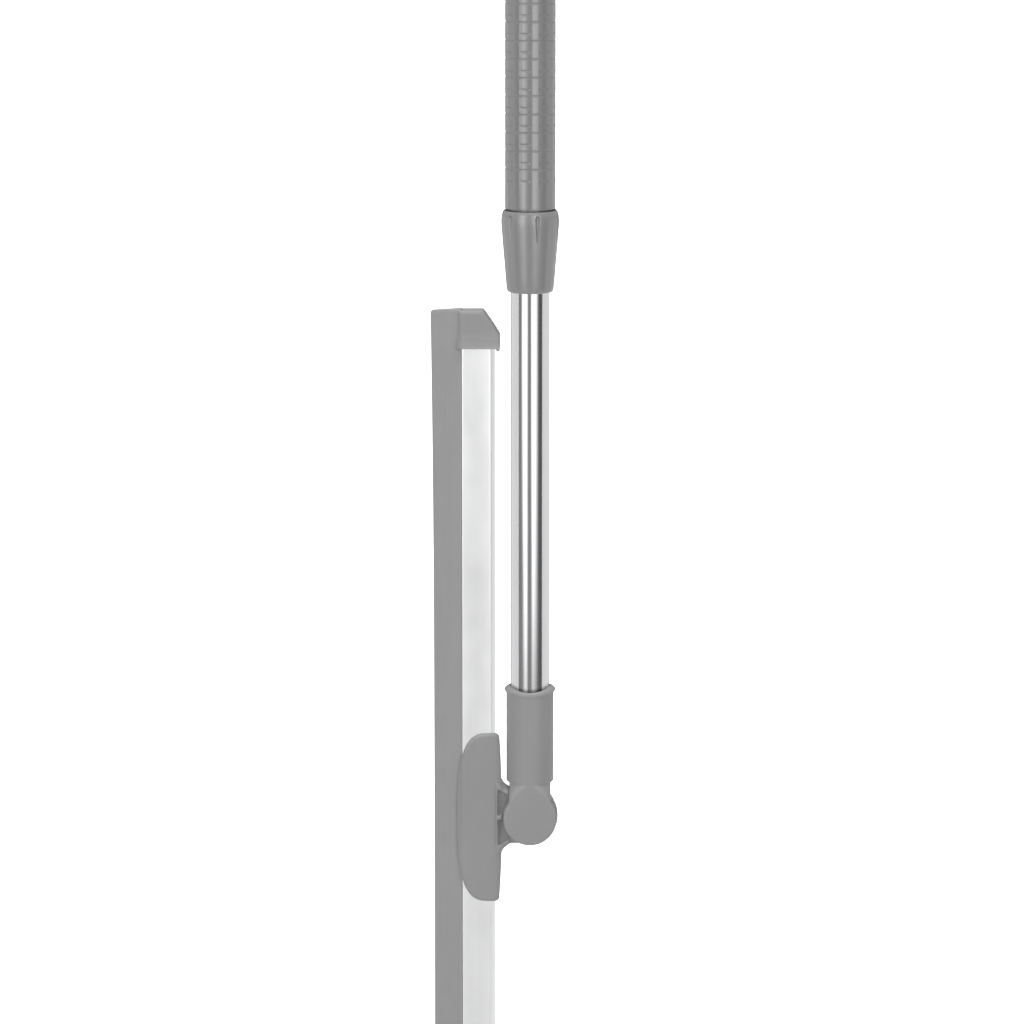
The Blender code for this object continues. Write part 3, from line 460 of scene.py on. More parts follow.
GROOVE_PITCH = 8.93 * MM
FIRST_GROOVE = 20.0 * MM
PLAIN_TOP = 14 * MM
CROSS_GROOVE_DROP = 5.6 * MM
GROOVE_HALF_WIDTH = 0.7 * MM
GROOVE_DEPTH = 0.24 * MM
SIDE_GROOVE_SHARE = 0.2
GRIP_COLUMNS = 16
GRIP_WALL = 0.8 * MM
GRIP_EDGE = 0.45 * MM
PAD_CROWN = 0.03 * MM
PAD_SWELL = 0.05 * MM


def notch(distance, half_width):
    """A rounded groove's depth, from 1 at its middle to 0 at its sides."""
    return np.where(np.abs(distance) < half_width, np.cos(distance / half_width * math.pi / 2) ** 2, 0.0)


def grip_heights(foot, top):
    """Ring heights of the grip, closer together at each groove, with the two lists of groove heights."""
    count = int((top - foot - FIRST_GROOVE - PLAIN_TOP) / GROOVE_PITCH) + 1
    full = [foot + FIRST_GROOVE + GROOVE_PITCH * i for i in range(count)]
    cross = [height - CROSS_GROOVE_DROP for height in full]
    across_groove = np.linspace(-1.1, 1.1, 9)
    near = [height + GROOVE_HALF_WIDTH * share for height in full + cross for share in across_groove]
    between = [height + step * MM for height in full for step in (1.4, 2.4, -1.5, -2.6, -4.2)]
    below = list(np.linspace(foot + 0.5 * MM, foot + 12 * MM, 9))
    above = list(np.linspace(full[-1] + 3 * MM, top - 0.5 * MM, 7))
    return np.array(sorted(near + between + below + above)), full, cross


def grip_angles(column, side):
    """Angles round the grip: five across each column's groove and four between two grooves."""
    near = [-1.2 * side, -0.6 * side, 0, 0.6 * side, 1.2 * side]
    between = column * np.array([0.2, 0.4, 0.6, 0.8])
    return np.concatenate([column * i + np.array([*near, *between]) for i in range(GRIP_COLUMNS)])


def make_grip(materials):
    """The glossy sleeve of the handle, with columns of pads between moulded grooves."""
    low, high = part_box("grip_sleeve")
    radius = high.x
    heights, full, cross = grip_heights(low.z, high.z)
    column = math.tau / GRIP_COLUMNS
    side = GROOVE_HALF_WIDTH / radius
    angles = grip_angles(column, side)
    to_full = np.min(np.abs(heights[:, None] - np.array(full)), axis=1)
    to_cross = np.min(np.abs(heights[:, None] - np.array(cross)), axis=1)
    to_side = (angles + column / 2) % column - column / 2
    patterned = (heights > cross[0] - 3 * MM) & (heights < full[-1] + 0.5 * MM)
    odd_column = np.floor((angles + 1e-6) / column).astype(int) % 2 == 1
    depth = notch(to_full, GROOVE_HALF_WIDTH)[:, None] * np.ones(len(angles))
    depth = np.maximum(depth, notch(to_cross, GROOVE_HALF_WIDTH)[:, None] * odd_column)
    depth = np.maximum(depth, SIDE_GROOVE_SHARE * notch(to_side, side) * patterned[:, None])
    pillow = PAD_CROWN * (2 * to_side / column) ** 2 * patterned[:, None]
    swell = 0.5 - 0.5 * np.cos(math.tau * (heights - full[0]) / (GROOVE_PITCH / 2))
    pillow = pillow + PAD_SWELL * swell[:, None] * odd_column * patterned[:, None]
    outer = ring_grid(radius - GROOVE_DEPTH * depth - pillow, heights, angles)
    rounding = [
        (radius - GRIP_EDGE * (1 - math.sin(turn)), GRIP_EDGE * (1 - math.cos(turn)))
        for turn in np.linspace(0, math.pi / 2, 5)[:-1]
    ]
    foot_rows = [ring_grid(ring, [low.z + rise], angles) for ring, rise in rounding]
    top_rows = [ring_grid(ring, [high.z - rise], angles) for ring, rise in reversed(rounding)]
    bore = radius - GRIP_WALL
    bore_rows = [ring_grid(bore, [height], angles) for height in np.linspace(high.z, low.z, 12)]
    rows = np.concatenate(foot_rows + [outer] + top_rows + bore_rows)
    add_piece("grip", mesh_of("grip", *wrapped(rows, True), 50), "grip_sleeve", materials)


FLANGE_HEIGHT = 8 * MM
FLANGE_EDGE = 1.2 * MM
PLUG_STEP = 2.3 * MM
TAB_FOOT = 4 * MM
TAB_TAPER = 0.6 * MM
TAB_HALF_DEPTH = 4.5 * MM
TAB_ROUNDING = 1.4 * MM
EYE_RADIUS = 5.5 * MM
EYE_MOUTH = 1.3 * MM
EYE_REACH = 5.5 * MM


def make_top_cap(materials):
    """The plug with the hanging eye: a flat tab with a rounded rim, blended into the cap's flange."""
    low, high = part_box("top_cap")
    flange = high.x
    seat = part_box("grip_sleeve")[1].z + 0.3 * MM
    crown = seat + FLANGE_HEIGHT
    plug = flange - PLUG_STEP
    body = turned([
        (0, low.z), (plug - FLANGE_EDGE, low.z), (plug, low.z + FLANGE_EDGE), (plug, seat), (flange, seat),
        (flange, crown - FLANGE_EDGE), (flange - FLANGE_EDGE, crown), (0, crown),
    ])
    foot = seat + TAB_FOOT
    outline = arc(0, 0, flange, 0, 180, 64) + [(-flange + TAB_TAPER, foot), (flange - TAB_TAPER, foot)]
    tab = plate(outline, -TAB_HALF_DEPTH, TAB_HALF_DEPTH)
    rims = [e for e in tab.edges if len({round(v.co.y, 6) for v in e.verts}) == 1]
    bmesh.ops.bevel(tab, geom=rims, offset=TAB_ROUNDING, segments=4, profile=0.5, affect="EDGES")
    flare = [
        (0, -EYE_REACH), (EYE_RADIUS + EYE_MOUTH + 1 * MM, -EYE_REACH),
        (EYE_RADIUS + EYE_MOUTH * 0.3, -TAB_HALF_DEPTH + EYE_MOUTH * 0.3),
        (EYE_RADIUS, -TAB_HALF_DEPTH + EYE_MOUTH), (EYE_RADIUS, TAB_HALF_DEPTH - EYE_MOUTH),
        (EYE_RADIUS + EYE_MOUTH * 0.3, TAB_HALF_DEPTH - EYE_MOUTH * 0.3),
        (EYE_RADIUS + EYE_MOUTH + 1 * MM, EYE_REACH), (0, EYE_REACH),
    ]
    mesh = sculpted("eye_cap", body, joins=[tab], cuts=[turned(flare, across=True)], rounds=8)
    add_piece("eye_cap", mesh, "top_cap", materials)


COLLAR_DENTS = 6
FIRST_DENT = math.radians(15)
DENT_TOP = 1.7 * MM
DENT_LENGTH = 13.1 * MM
DENT_HALF_WIDTH = 1.4 * MM
DENT_DEPTH = 1.2 * MM
FINE_HALF_ANGLE = math.radians(7)
COARSE_START = math.radians(9)
COLLAR_SLEEVE_BORE = 12.6 * MM
COLLAR_TUBE_BORE = 9.9 * MM
COLLAR_THREAD_BORE = 11.6 * MM


def collar_profile(top):
    """The collar's outside from top to foot: a rounded shoulder, then a gently bowed taper."""
    points = [
        (12.85, 0.0), (13.1, 0.2), (13.5, 1.0), (13.88, 2.4), (14.08, 4.2), (14.14, 5.6), (14.0, 8.0),
        (13.65, 12.5), (13.1, 19.5), (12.54, 26.0), (11.98, 33.0), (11.6, 37.0), (11.4, 38.6),
        (11.0, 39.7), (10.4, 40.1),
    ]
    return [(radius * MM, top - drop * MM) for radius, drop in smooth_curve(points, 10)]


def dent_depth(heights, angles, top, radius):
    """How deep the long dents round the collar are, at each height and angle. Each narrows downwards."""
    share = (top - DENT_TOP - heights[:, None]) / DENT_LENGTH
    inside = np.clip(share, 0, 1)
    width = DENT_HALF_WIDTH * np.minimum(1, np.sqrt(inside / 0.12)) * (1 - inside) ** 0.55 + 1e-9
    spacing = math.tau / COLLAR_DENTS
    turn = (angles - FIRST_DENT + spacing / 2) % spacing - spacing / 2
    distance = np.abs(turn) * radius / width
    shape = np.maximum(0.0, 1 - distance**2) ** 1.2 * (1 - inside) ** 0.35
    return np.where((share > 0) & (share < 1), shape, 0.0) * DENT_DEPTH


def make_lock_collar(materials):
    """The twist-lock collar, with finer columns of faces at its dents and a stepped bore."""
    low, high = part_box("lock_collar")
    profile = collar_profile(high.z)
    heights = np.array([height for _, height in profile])
    radii = np.array([radius for radius, _ in profile])
    spacing = math.tau / COLLAR_DENTS
    fine = np.linspace(-FINE_HALF_ANGLE, FINE_HALF_ANGLE, 25)
    coarse = np.linspace(COARSE_START, spacing - COARSE_START, 16)
    one_dent = np.concatenate([fine, coarse])
    angles = np.concatenate([FIRST_DENT + spacing * i + one_dent for i in range(COLLAR_DENTS)])
    outer = ring_grid(radii[:, None] - dent_depth(heights, angles, high.z, radii.max()), heights, angles)
    inner = [
        (COLLAR_TUBE_BORE + 0.3 * MM, low.z), (COLLAR_TUBE_BORE, low.z + 0.3 * MM),
        (COLLAR_TUBE_BORE, low.z + 2.2 * MM), (COLLAR_TUBE_BORE + 0.9 * MM, low.z + 2.2 * MM),
        (COLLAR_THREAD_BORE, low.z + 9.9 * MM), (COLLAR_THREAD_BORE, low.z + 24.9 * MM),
        (COLLAR_SLEEVE_BORE, low.z + 25.3 * MM), (COLLAR_SLEEVE_BORE, high.z - 0.2 * MM),
        (COLLAR_SLEEVE_BORE + 0.15 * MM, high.z),
    ]
    rows = np.concatenate([outer] + [ring_grid(radius, [height], angles) for radius, height in inner])
    add_piece("twist_collar", mesh_of("twist_collar", *wrapped(rows, True), 50), "lock_collar", materials)


# ---------------------------------------------------------------- lower pole

TUBE_WALL = 0.8 * MM
TUBE_EDGE = 0.25 * MM


def make_chrome_tube(materials):
    """The drawn tube, with rolled ends and a smooth bright wall."""
    low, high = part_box("inner_tube")
    radius = high.x
    bore = radius - TUBE_WALL
    angles = np.linspace(0, math.tau, 192, endpoint=False)
    outline = [(bore, low.z), (radius - TUBE_EDGE, low.z), (radius, low.z + TUBE_EDGE)]
    outline += [(radius, height) for height in np.linspace(low.z + 2 * MM, high.z - 2 * MM, 60)]
    outline += [(radius, high.z - TUBE_EDGE), (radius - TUBE_EDGE, high.z), (bore, high.z)]
    outline += [(bore, height) for height in np.linspace(high.z - 5 * MM, low.z + 5 * MM, 30)]
    rows = np.concatenate([ring_grid(ring, [height], angles) for ring, height in outline])
    add_piece("chrome_tube", mesh_of("chrome_tube", *wrapped(rows, True), 50), "inner_tube", materials)


BARREL_RADIUS = 11.7 * MM
SOCKET_LIP_RADIUS = 12.85 * MM
LIP_FRONT_TRIM = 0.85
LIP_REACH = 9.0 * MM
SOCKET_BORE = 9.8 * MM
SOCKET_FLOOR = 20.5 * MM
SOCKET_SHOULDER = 17.8 * MM
FUNNEL_DEPTH = 2.4 * MM
FUNNEL_SPREAD = 0.45 * MM
KNUCKLE_RADIUS = 13.2 * MM
KNUCKLE_HALF_DEPTH = 11.8 * MM
KNUCKLE_RIM = 1.1 * MM
NECK_START = 8.3 * MM
NECK_HALF_WIDTH = 10.3 * MM
SLOT_HALF_DEPTH = 4.6 * MM
SLOT_TOP = 14.6 * MM
SLOT_REACH = 20 * MM
PIVOT_HEAD_SEAT = 8.4 * MM
PIVOT_HEAD_BORE = 3.9 * MM
PIVOT_SHANK_BORE = 2.2 * MM
TUBE_SCREW_BORE = 1.6 * MM
TUBE_SCREW_HEIGHT = (SOCKET_FLOOR + SOCKET_HEIGHT) / 2


def rounded_ring(half_width, half_depth, corner, height, steps=24):
    """Points round a rectangle with round corners, in a level plane."""
    corner = min(corner, half_width)
    points = []
    for quarter, (side_x, side_y) in enumerate(((1, 1), (-1, 1), (-1, -1), (1, -1))):
        for step in range(steps):
            angle = math.pi / 2 * (quarter + (step + 0.5) / steps)
            x = side_x * (half_width - corner) + corner * math.cos(angle)
            y = side_y * (half_depth - corner) + corner * math.sin(angle)
            points.append((x, y, PIVOT_Z + height))
    return points


def socket_rings():
    """Level sections of the socket: a flat-sided disc, a neck that turns round, a barrel and its lip."""
    neck_start = math.degrees(math.acos(NECK_HALF_WIDTH / KNUCKLE_RADIUS))
    rings = []
    for half_width, height in arc(0, 0, KNUCKLE_RADIUS, -86, neck_start, 48):
        low_rim = max(0.0, -height - KNUCKLE_RADIUS + KNUCKLE_RIM)
        depth = KNUCKLE_HALF_DEPTH - KNUCKLE_RIM + math.sqrt(KNUCKLE_RIM**2 - low_rim**2)
        rings.append(rounded_ring(half_width, depth, KNUCKLE_RIM, height))
    for share in np.linspace(0.1, 1, 10):
        height = NECK_START + (SOCKET_SHOULDER - 0.5 * MM - NECK_START) * share
        corner = KNUCKLE_RIM + (NECK_HALF_WIDTH - KNUCKLE_RIM) * share**1.6
        depth = KNUCKLE_HALF_DEPTH + (BARREL_RADIUS - KNUCKLE_HALF_DEPTH) * share
        rings.append(rounded_ring(NECK_HALF_WIDTH, depth, corner, height))
    top = SOCKET_HEIGHT
    for radius, height in (
        (BARREL_RADIUS, SOCKET_SHOULDER), (BARREL_RADIUS, top - 4.0 * MM),
        (BARREL_RADIUS + 0.1 * MM, top - 3.5 * MM),
        (SOCKET_LIP_RADIUS - 0.35 * MM, top - 2.7 * MM), (SOCKET_LIP_RADIUS, top - 2.3 * MM),
        (SOCKET_LIP_RADIUS - 0.1 * MM, top - 1.9 * MM), (BARREL_RADIUS - 0.2 * MM, top - 0.6 * MM),
        (BARREL_RADIUS - 1.2 * MM, top),
    ):
        rings.append(rounded_ring(radius, radius, radius, height))
    return rings


def make_socket(materials):
    """The pole's moulded foot: a barrel with a flared lip that runs into the forked knuckle."""
    shell = mesh_of("socket_shell", *wrapped(np.array(socket_rings()), False))
    base = bmesh.new()
    base.from_mesh(shell)
    bpy.data.meshes.remove(shell)
    top = PIVOT_Z + SOCKET_HEIGHT
    floor = PIVOT_Z + SOCKET_FLOOR
    mouth = SOCKET_BORE + FUNNEL_SPREAD
    tube_bore = turned([
        (0, floor), (SOCKET_BORE, floor), (SOCKET_BORE, top - FUNNEL_DEPTH),
        (mouth, top), (mouth, top + 1 * MM), (0, top + 1 * MM),
    ])
    slot = block(
        (-SLOT_REACH, -SLOT_HALF_DEPTH, PIVOT_Z - SLOT_REACH),
        (SLOT_REACH, SLOT_HALF_DEPTH, PIVOT_Z + SLOT_TOP),
    )
    pivot_bore = [
        (0, 3 * MM), (PIVOT_SHANK_BORE, 3 * MM), (PIVOT_SHANK_BORE, PIVOT_HEAD_SEAT),
        (PIVOT_HEAD_BORE, PIVOT_HEAD_SEAT), (PIVOT_HEAD_BORE, 14 * MM), (0, 14 * MM),
    ]
    screw_bore = turned(pivot_bore, centre=(0, 0, PIVOT_Z), across=True)
    tube_screw = turned(
        [(0, 9 * MM), (TUBE_SCREW_BORE, 9 * MM), (TUBE_SCREW_BORE, 14 * MM), (0, 14 * MM)],
        centre=(0, 0, PIVOT_Z + TUBE_SCREW_HEIGHT), across=True, steps=48,
    )
    cuts = [tube_bore, slot, screw_bore, tube_screw]
    mesh = sculpted("socket", base, cuts=cuts, voxel=0.3 * MM, rounds=7)
    for vert in mesh.vertices:
        radius = math.hypot(vert.co.x, vert.co.y)
        facing = (vert.co.y / radius) ** 2
        if vert.co.z > top - LIP_REACH and radius > BARREL_RADIUS:
            shrink = 1 - LIP_FRONT_TRIM * facing * (radius - BARREL_RADIUS) / radius
            vert.co.x *= shrink
            vert.co.y *= shrink
        vert.co.z -= LIP_DIP * ramp(vert.co.z, top - LIP_REACH, top) * facing
    add_piece("socket", mesh, "pole_socket", materials)


HEAD_RADIUS = 2.6 * MM
HEAD_EDGE = 0.15 * MM


def cross_recess(radius, crown, centre):
    """The two crossed slots of a screw head whose top is at y = crown."""
    x, _, z = centre
    long, short = 0.75 * radius, 0.22 * radius
    floor, over = crown - 0.5 * radius, crown + 1 * MM
    return [
        block((x - wide, floor, z - tall), (x + wide, over, z + tall))
        for wide, tall in ((long, short), (short, long))
    ]


def screw_mesh(name, node, head_radius, shank_radius, seat, dome):
    """A screw along Y with a domed, cross-recessed head."""
    low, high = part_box(node)
    centre = ((low.x + high.x) / 2, 0, (low.z + high.z) / 2)
    crown = high.y
    outline = [
        (0, low.y), (shank_radius * 0.4, low.y + 0.2 * MM), (shank_radius, low.y + 1 * MM),
        (shank_radius, seat), (head_radius - HEAD_EDGE, seat), (head_radius, seat + HEAD_EDGE),
        (head_radius, crown - dome),
    ]
    outline += [
        (head_radius * math.cos(turn), crown - dome + dome * math.sin(turn))
        for turn in np.linspace(0.25, 1.45, 6)
    ]
    outline.append((0, crown))
    shaft = turned(outline, centre=centre, across=True, steps=48)
    return sculpted(name, shaft, cuts=cross_recess(head_radius, crown, centre), voxel=None)


def make_screws(materials):
    """The screw in the socket's back and the four that clamp the bracket."""
    tube_screw = screw_mesh("tube_screw", "socket_screw", HEAD_RADIUS, 1.2 * MM, 12.0 * MM, 0.9 * MM)
    add_piece("tube_screw", tube_screw, "socket_screw", materials)
    for index in range(1, 5):
        node = f"clamp_screw_{index}"
        name = f"bracket_screw_{index}"
        screw = screw_mesh(name, node, HEAD_RADIUS, 0.9 * MM, 6.3 * MM, 0.5 * MM)
        add_piece(name, screw, node, materials)


def make_pivot_plug(materials):
    """The plug over the pivot screw: a shallow dish with a raised rim."""
    low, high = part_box("screw_cap")
    radius = high.x
    crown = high.y
    wide, tall, dish = 0.35 * MM, 0.5 * MM, 0.35 * MM
    outline = [(0, low.y), (radius, low.y), (radius, crown - tall)]
    outline += [
        (radius - wide + wide * math.cos(turn), crown - tall + tall * math.sin(turn))
        for turn in np.linspace(0.3, 1.57, 5)
    ]
    outline += [
        (radius - 0.8 * MM, crown), (radius - 1.1 * MM, crown - 0.25 * MM),
        (radius - 1.6 * MM, crown - dish), (0, crown - dish),
    ]
    mesh = sculpted("pivot_plug", turned(outline, centre=(0, 0, PIVOT_Z), across=True), voxel=None)
    add_piece("pivot_plug", mesh, "screw_cap", materials)


# ---------------------------------------------------------------- head


def rounded(outline, radius, steps=4):
    """A closed outline with each corner rounded, by at most radius and a third of its shorter side."""
    curve = []
    for index, corner in enumerate(outline):
        here = np.array(corner, float)
        before = np.array(outline[index - 1], float) - here
        after = np.array(outline[(index + 1) % len(outline)], float) - here
        reach = min(radius, np.linalg.norm(before) / 3, np.linalg.norm(after) / 3)
        start = here + before / np.linalg.norm(before) * reach
        end = here + after / np.linalg.norm(after) * reach
        for step in range(steps + 1):
            t = step / steps
            curve.append(tuple((1 - t) ** 2 * start + 2 * t * (1 - t) * here + t**2 * end))
    return curve


BOSS_X = -21.9 * MM
CLAMP_HEIGHTS = (-34 * MM, -14 * MM, 14 * MM, 34 * MM)
FRONT_BORE = (2.2 * MM, -6 * MM, -3 * MM)
BACK_BORE = (1.2 * MM, 3 * MM, 6 * MM)


def clamp_bores():
    """The round holes for the clamp screws: a wide one in the front wall and a narrow one in the back."""
    return [
        turned(
            [(0, start), (radius, start), (radius, end), (0, end)],
            centre=(BOSS_X, 0, PIVOT_Z + height), across=True, steps=32,
        )
        for height in CLAMP_HEIGHTS for radius, start, end in (FRONT_BORE, BACK_BORE)
    ]


def make_channel(materials):
    """The extruded channel, its section rounded at every corner, drawn along its whole length."""
    low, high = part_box("blade_channel")
    wall, chamfer, gap = 1.1 * MM, 2.2 * MM, 2.1 * MM
    rib_x, rib, rib_tip = high.x - 7.3 * MM, 0.4 * MM, 1.6 * MM
    outer = high.y
    inner = outer - wall
    half = [
        (high.x, -outer + chamfer), (high.x - chamfer, -outer), (low.x, -outer), (low.x, -gap),
        (low.x + wall, -gap), (low.x + wall, -inner), (rib_x - rib, -inner), (rib_x - rib, -rib_tip),
        (rib_x + rib, -rib_tip), (rib_x + rib, -inner), (high.x - chamfer - 0.5 * MM, -inner),
        (high.x - wall, -outer + chamfer + 0.5 * MM),
    ]
    section = rounded(half + [(x, -y) for x, y in reversed(half)], 0.45 * MM)
    heights = np.linspace(low.z, high.z, 49)
    bm = bmesh.new()
    rings = [[bm.verts.new((x, y, height)) for x, y in section] for height in heights]
    for lower, upper in zip(rings, rings[1:]):
        for step in range(len(section)):
            after = (step + 1) % len(section)
            bm.faces.new((lower[step], lower[after], upper[after], upper[step]))
    bm.faces.new(rings[0])
    bm.faces.new(rings[-1])
    bmesh.ops.recalc_face_normals(bm, faces=bm.faces)
    mesh = sculpted("channel", bm, cuts=clamp_bores(), voxel=None)
    add_piece("channel", mesh, "blade_channel", materials)


BLADE_BOW = 1.3 * MM
BLADE_EDGE_INSET = 1.9 * MM
BLADE_CORNER = 1.5 * MM
BLADE_END_RISE = 0.4 * MM
BLADE_END_TUCK = 0.25 * MM
BLADE_NECK = 1.7 * MM
BLADE_BEAD = 3.5 * MM


def blade_stations(half_length):
    """Heights along the blade, each with how far the rounded corner pulls its edge in there."""
    ends = [
        (half_length - BLADE_CORNER * share, BLADE_CORNER * (1 - math.sqrt(1 - (1 - share) ** 2)))
        for share in (0.0, 0.1, 0.25, 0.45, 0.7, 1.0)
    ]
    upper = ends + [(height, 0.0) for height in np.linspace(half_length - 4 * MM, 0, 40)]
    return upper + [(-height, pull) for height, pull in reversed(upper[:-1])]


def blade_section(root, tip, tuck):
    """Half of the blade's section, from its root in the channel's mouth to its edge."""
    return [
        (root, 4.0 * MM - tuck), (root - 0.35 * MM, 4.3 * MM - tuck), (root - 1.4 * MM, 4.15 * MM - tuck),
        (tip + 3.0 * MM, 1.82 * MM - tuck), (tip + 0.9 * MM, 1.3 * MM - tuck),
        (tip + 0.15 * MM, 0.95 * MM - tuck), (tip, 0.5 * MM),
    ]


def make_blade(materials):
    """The rubber strip: a tapered blade with a softly rounded edge, and its neck and bead."""
    low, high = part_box("rubber_blade")
    channel_low, channel_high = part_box("blade_channel")
    mouth = channel_low.x
    half_length = (high.z - low.z) / 2
    edge_x = low.x + BLADE_EDGE_INSET
    root = mouth - 0.05 * MM
    rows = []
    for height, pull in blade_stations(half_length):
        tip = edge_x - BLADE_BOW * abs(height / half_length) ** 3 + pull
        tuck = BLADE_END_TUCK * (pull > BLADE_CORNER * 0.8)
        curve = [tuple(point) for point in smooth_curve(blade_section(root, tip, tuck), 4)]
        section = curve + [(x, -y) for x, y in reversed(curve)]
        rise = BLADE_END_RISE * (height / half_length) ** 9 / (root - tip)
        rows.append([(x, y, PIVOT_Z + height + rise * (x - tip)) for x, y in section])
    mesh = mesh_of("blade_strip", *wrapped(np.array(rows), False), 40)
    base = bmesh.new()
    base.from_mesh(mesh)
    bpy.data.meshes.remove(mesh)
    channel_half = (channel_high.z - channel_low.z) / 2 - 0.3 * MM
    left, right = mouth + 1.5 * MM, mouth + 8.2 * MM
    inside = [(root - 1 * MM, BLADE_NECK), (left, BLADE_NECK), (left, BLADE_BEAD), (right, BLADE_BEAD)]
    section = inside + [(x, -y) for x, y in reversed(inside)]
    held = prism([(x, y, PIVOT_Z - channel_half) for x, y in section], (0, 0, 2 * channel_half))
    add_piece("blade", sculpted("blade", base, joins=[held], voxel=None), "rubber_blade", materials)


CAP_HALF_DEPTH = 6.6 * MM
CAP_SLOT_DEPTH = 5.0 * MM
CAP_THIN_START = -31.5 * MM
CAP_THINNING = 0.34
CAP_INSIDE = 3.0 * MM
FLARE_HEIGHT = 9.0 * MM
FLARE = 2.5 * MM
SKIRT_HEIGHT = 4.5 * MM
SKIRT_RIM = 1.0 * MM
SKIRT = 1.4 * MM
CAP_HEIGHT = 18.5 * MM


def flared(height):
    """How far the cap's front stands out at a height above its foot: flat, then flaring to the foot."""
    rise = max(0.0, 1 - max(height, 0.0) / FLARE_HEIGHT)
    return CAP_HALF_DEPTH + FLARE * rise**2


def cad_flare(height):
    """The same for the plain CAD shape, whose skirt is a straight slope over a short upright rim."""
    share = (SKIRT_HEIGHT - height) / (SKIRT_HEIGHT - SKIRT_RIM)
    return CAP_HALF_DEPTH + SKIRT * min(1.0, max(0.0, share))


def make_end_caps(materials):
    """The moulded caps at the head's two ends, with a flared foot and a side that thins to the rubber."""
    for node in ("end_cap_top", "end_cap_bottom"):
        name = node.replace("end_cap", "head_cap")
        mesh = sculpted(name, node, voxel=0.26 * MM, rounds=14)
        low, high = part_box(node)
        foot = max(abs(low.z - PIVOT_Z), abs(high.z - PIVOT_Z)) - CAP_HEIGHT
        for vert in mesh.vertices:
            if abs(vert.co.y) > CAP_SLOT_DEPTH:
                above = abs(vert.co.z - PIVOT_Z) - foot
                vert.co.y *= flared(above) / cad_flare(above)
            if abs(vert.co.y) > CAP_INSIDE:
                thinning = max(0.0, (CAP_THIN_START - vert.co.x) / (CAP_THIN_START - low.x))
                vert.co.y *= 1 - CAP_THINNING * thinning**2
        add_piece(name, mesh, node, materials)


ROLL_DEPTH = 2.2 * MM
SIDE_ROLL = (-22.5 * MM, -14.3 * MM, 1.5 * MM)
RUBBER_ROLL = (-29.5 * MM, -36.2 * MM, 1.4 * MM)
OVERHANG_START = -33.3 * MM
OVERHANG_END = -34.8 * MM
OVERHANG_DROP = 0.6 * MM


def make_cover(materials):
    """The half-oval cover, whose face rolls back towards both of its sides."""
    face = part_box("bracket_cover")[0].y
    mesh = sculpted("cover", "bracket_cover", voxel=0.3 * MM, rounds=6)
    for vert in mesh.vertices:
        near = 1 - (vert.co.y - face) / ROLL_DEPTH
        if near > 0:
            for start, end, drop in (SIDE_ROLL, RUBBER_ROLL):
                share = max(0.0, (vert.co.x - start) / (end - start))
                vert.co.y += drop * share**2 * near
        vert.co.y += OVERHANG_DROP * ramp(vert.co.x, OVERHANG_START, OVERHANG_END)
    add_piece("cover", mesh, "bracket_cover", materials)


ARM_END = 13.9 * MM
ARM_ROOT = 29.0 * MM
ARM_FRONT = 1.4
ARM_BACK = 0.8
ARM_BEAD = 2.4 * MM
ARM_BEAD_SHARE = 0.6
FILLET_X = -7.6 * MM
FILLET_HEIGHT = 21 * MM
FILLET_RADIUS = 7.0 * MM


def make_bracket(materials):
    """The back of the bracket with its ribbed arm, softened as one moulding."""
    mesh = sculpted("bracket", "pivot_bracket", voxel=0.28 * MM, rounds=4)
    for vert in mesh.vertices:
        reach = math.hypot(vert.co.x, vert.co.z - PIVOT_Z)
        share = ramp(reach, ARM_END - 1 * MM, ARM_END) * ramp(reach, ARM_ROOT, ARM_ROOT - 4 * MM)
        if vert.co.x < 0:
            side = ARM_FRONT if vert.co.y < 0 else ARM_BACK
            above = abs(vert.co.z - PIVOT_Z) - FILLET_HEIGHT
            inside = math.hypot(vert.co.x - FILLET_X, above) - FILLET_RADIUS
            bead = max(0.0, 1 - max(0.0, inside) / ARM_BEAD)
            vert.co.y *= 1 + ((side - 1) - ARM_BEAD_SHARE * bead**2) * share
    add_piece("bracket", mesh, "pivot_bracket", materials)


NOT_MIRRORED = (
    "channel", "blade", "cover", "bracket", "head_cap_top", "head_cap_bottom", "chrome_tube", "socket",
)


def keep_reflections_clean():
    """The head and the chrome tube stand so close that each would mirror only the other's shaded side."""
    for name in NOT_MIRRORED:
        bpy.data.objects[name].visible_glossy = False


def finish_hidden(materials):
    """Gives the CAD nodes that stay their own finishes."""
    replaced = {node for obj in bpy.data.objects for node in obj.get("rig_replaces", [])}
    for node, obj in frame["nodes"].items():
        if node not in replaced:
            obj.data.materials.clear()
            obj.data.materials.append(materials[SLOT_OF[node]])


# ---------------------------------------------------------------- studio and camera

FLOOR_CLEARANCE = 200 * MM
FLOOR_RADIUS = 60
BACKDROP_RADIUS = 12
BACKDROP_HEIGHT = 9
BACKDROP_GLOW = 1.0
STUDIO_DISTANCE = 1.7
TENT_RISE = 1.3
TENT_SPAN = (-72, 77)
BACK_CARDS = (("card_back_left", 155, 170), ("card_back_right", 190, 208))
SOFTBOX_FADE = 0.34
LEFT_SOFTBOX = (0.4, 4.1)
RIGHT_SOFTBOX = (0.0, 3.9)
TENT_SHADE_LEFT = 0.3
TENT_SHADE_RIGHT = 0.13
CARD_GLOW = 0.1
LOW_FLAG_GLOW = 0.84
LOW_FLAG_START = -0.25
LOW_FLAG_HALF_WIDTH = 0.9
LOW_FLAG_RISE = 5 * MM
ROOM_LIGHT = 0.62
OVERHEAD_LIGHT = 2.4
OVERHEAD_SPREAD = math.radians(60)


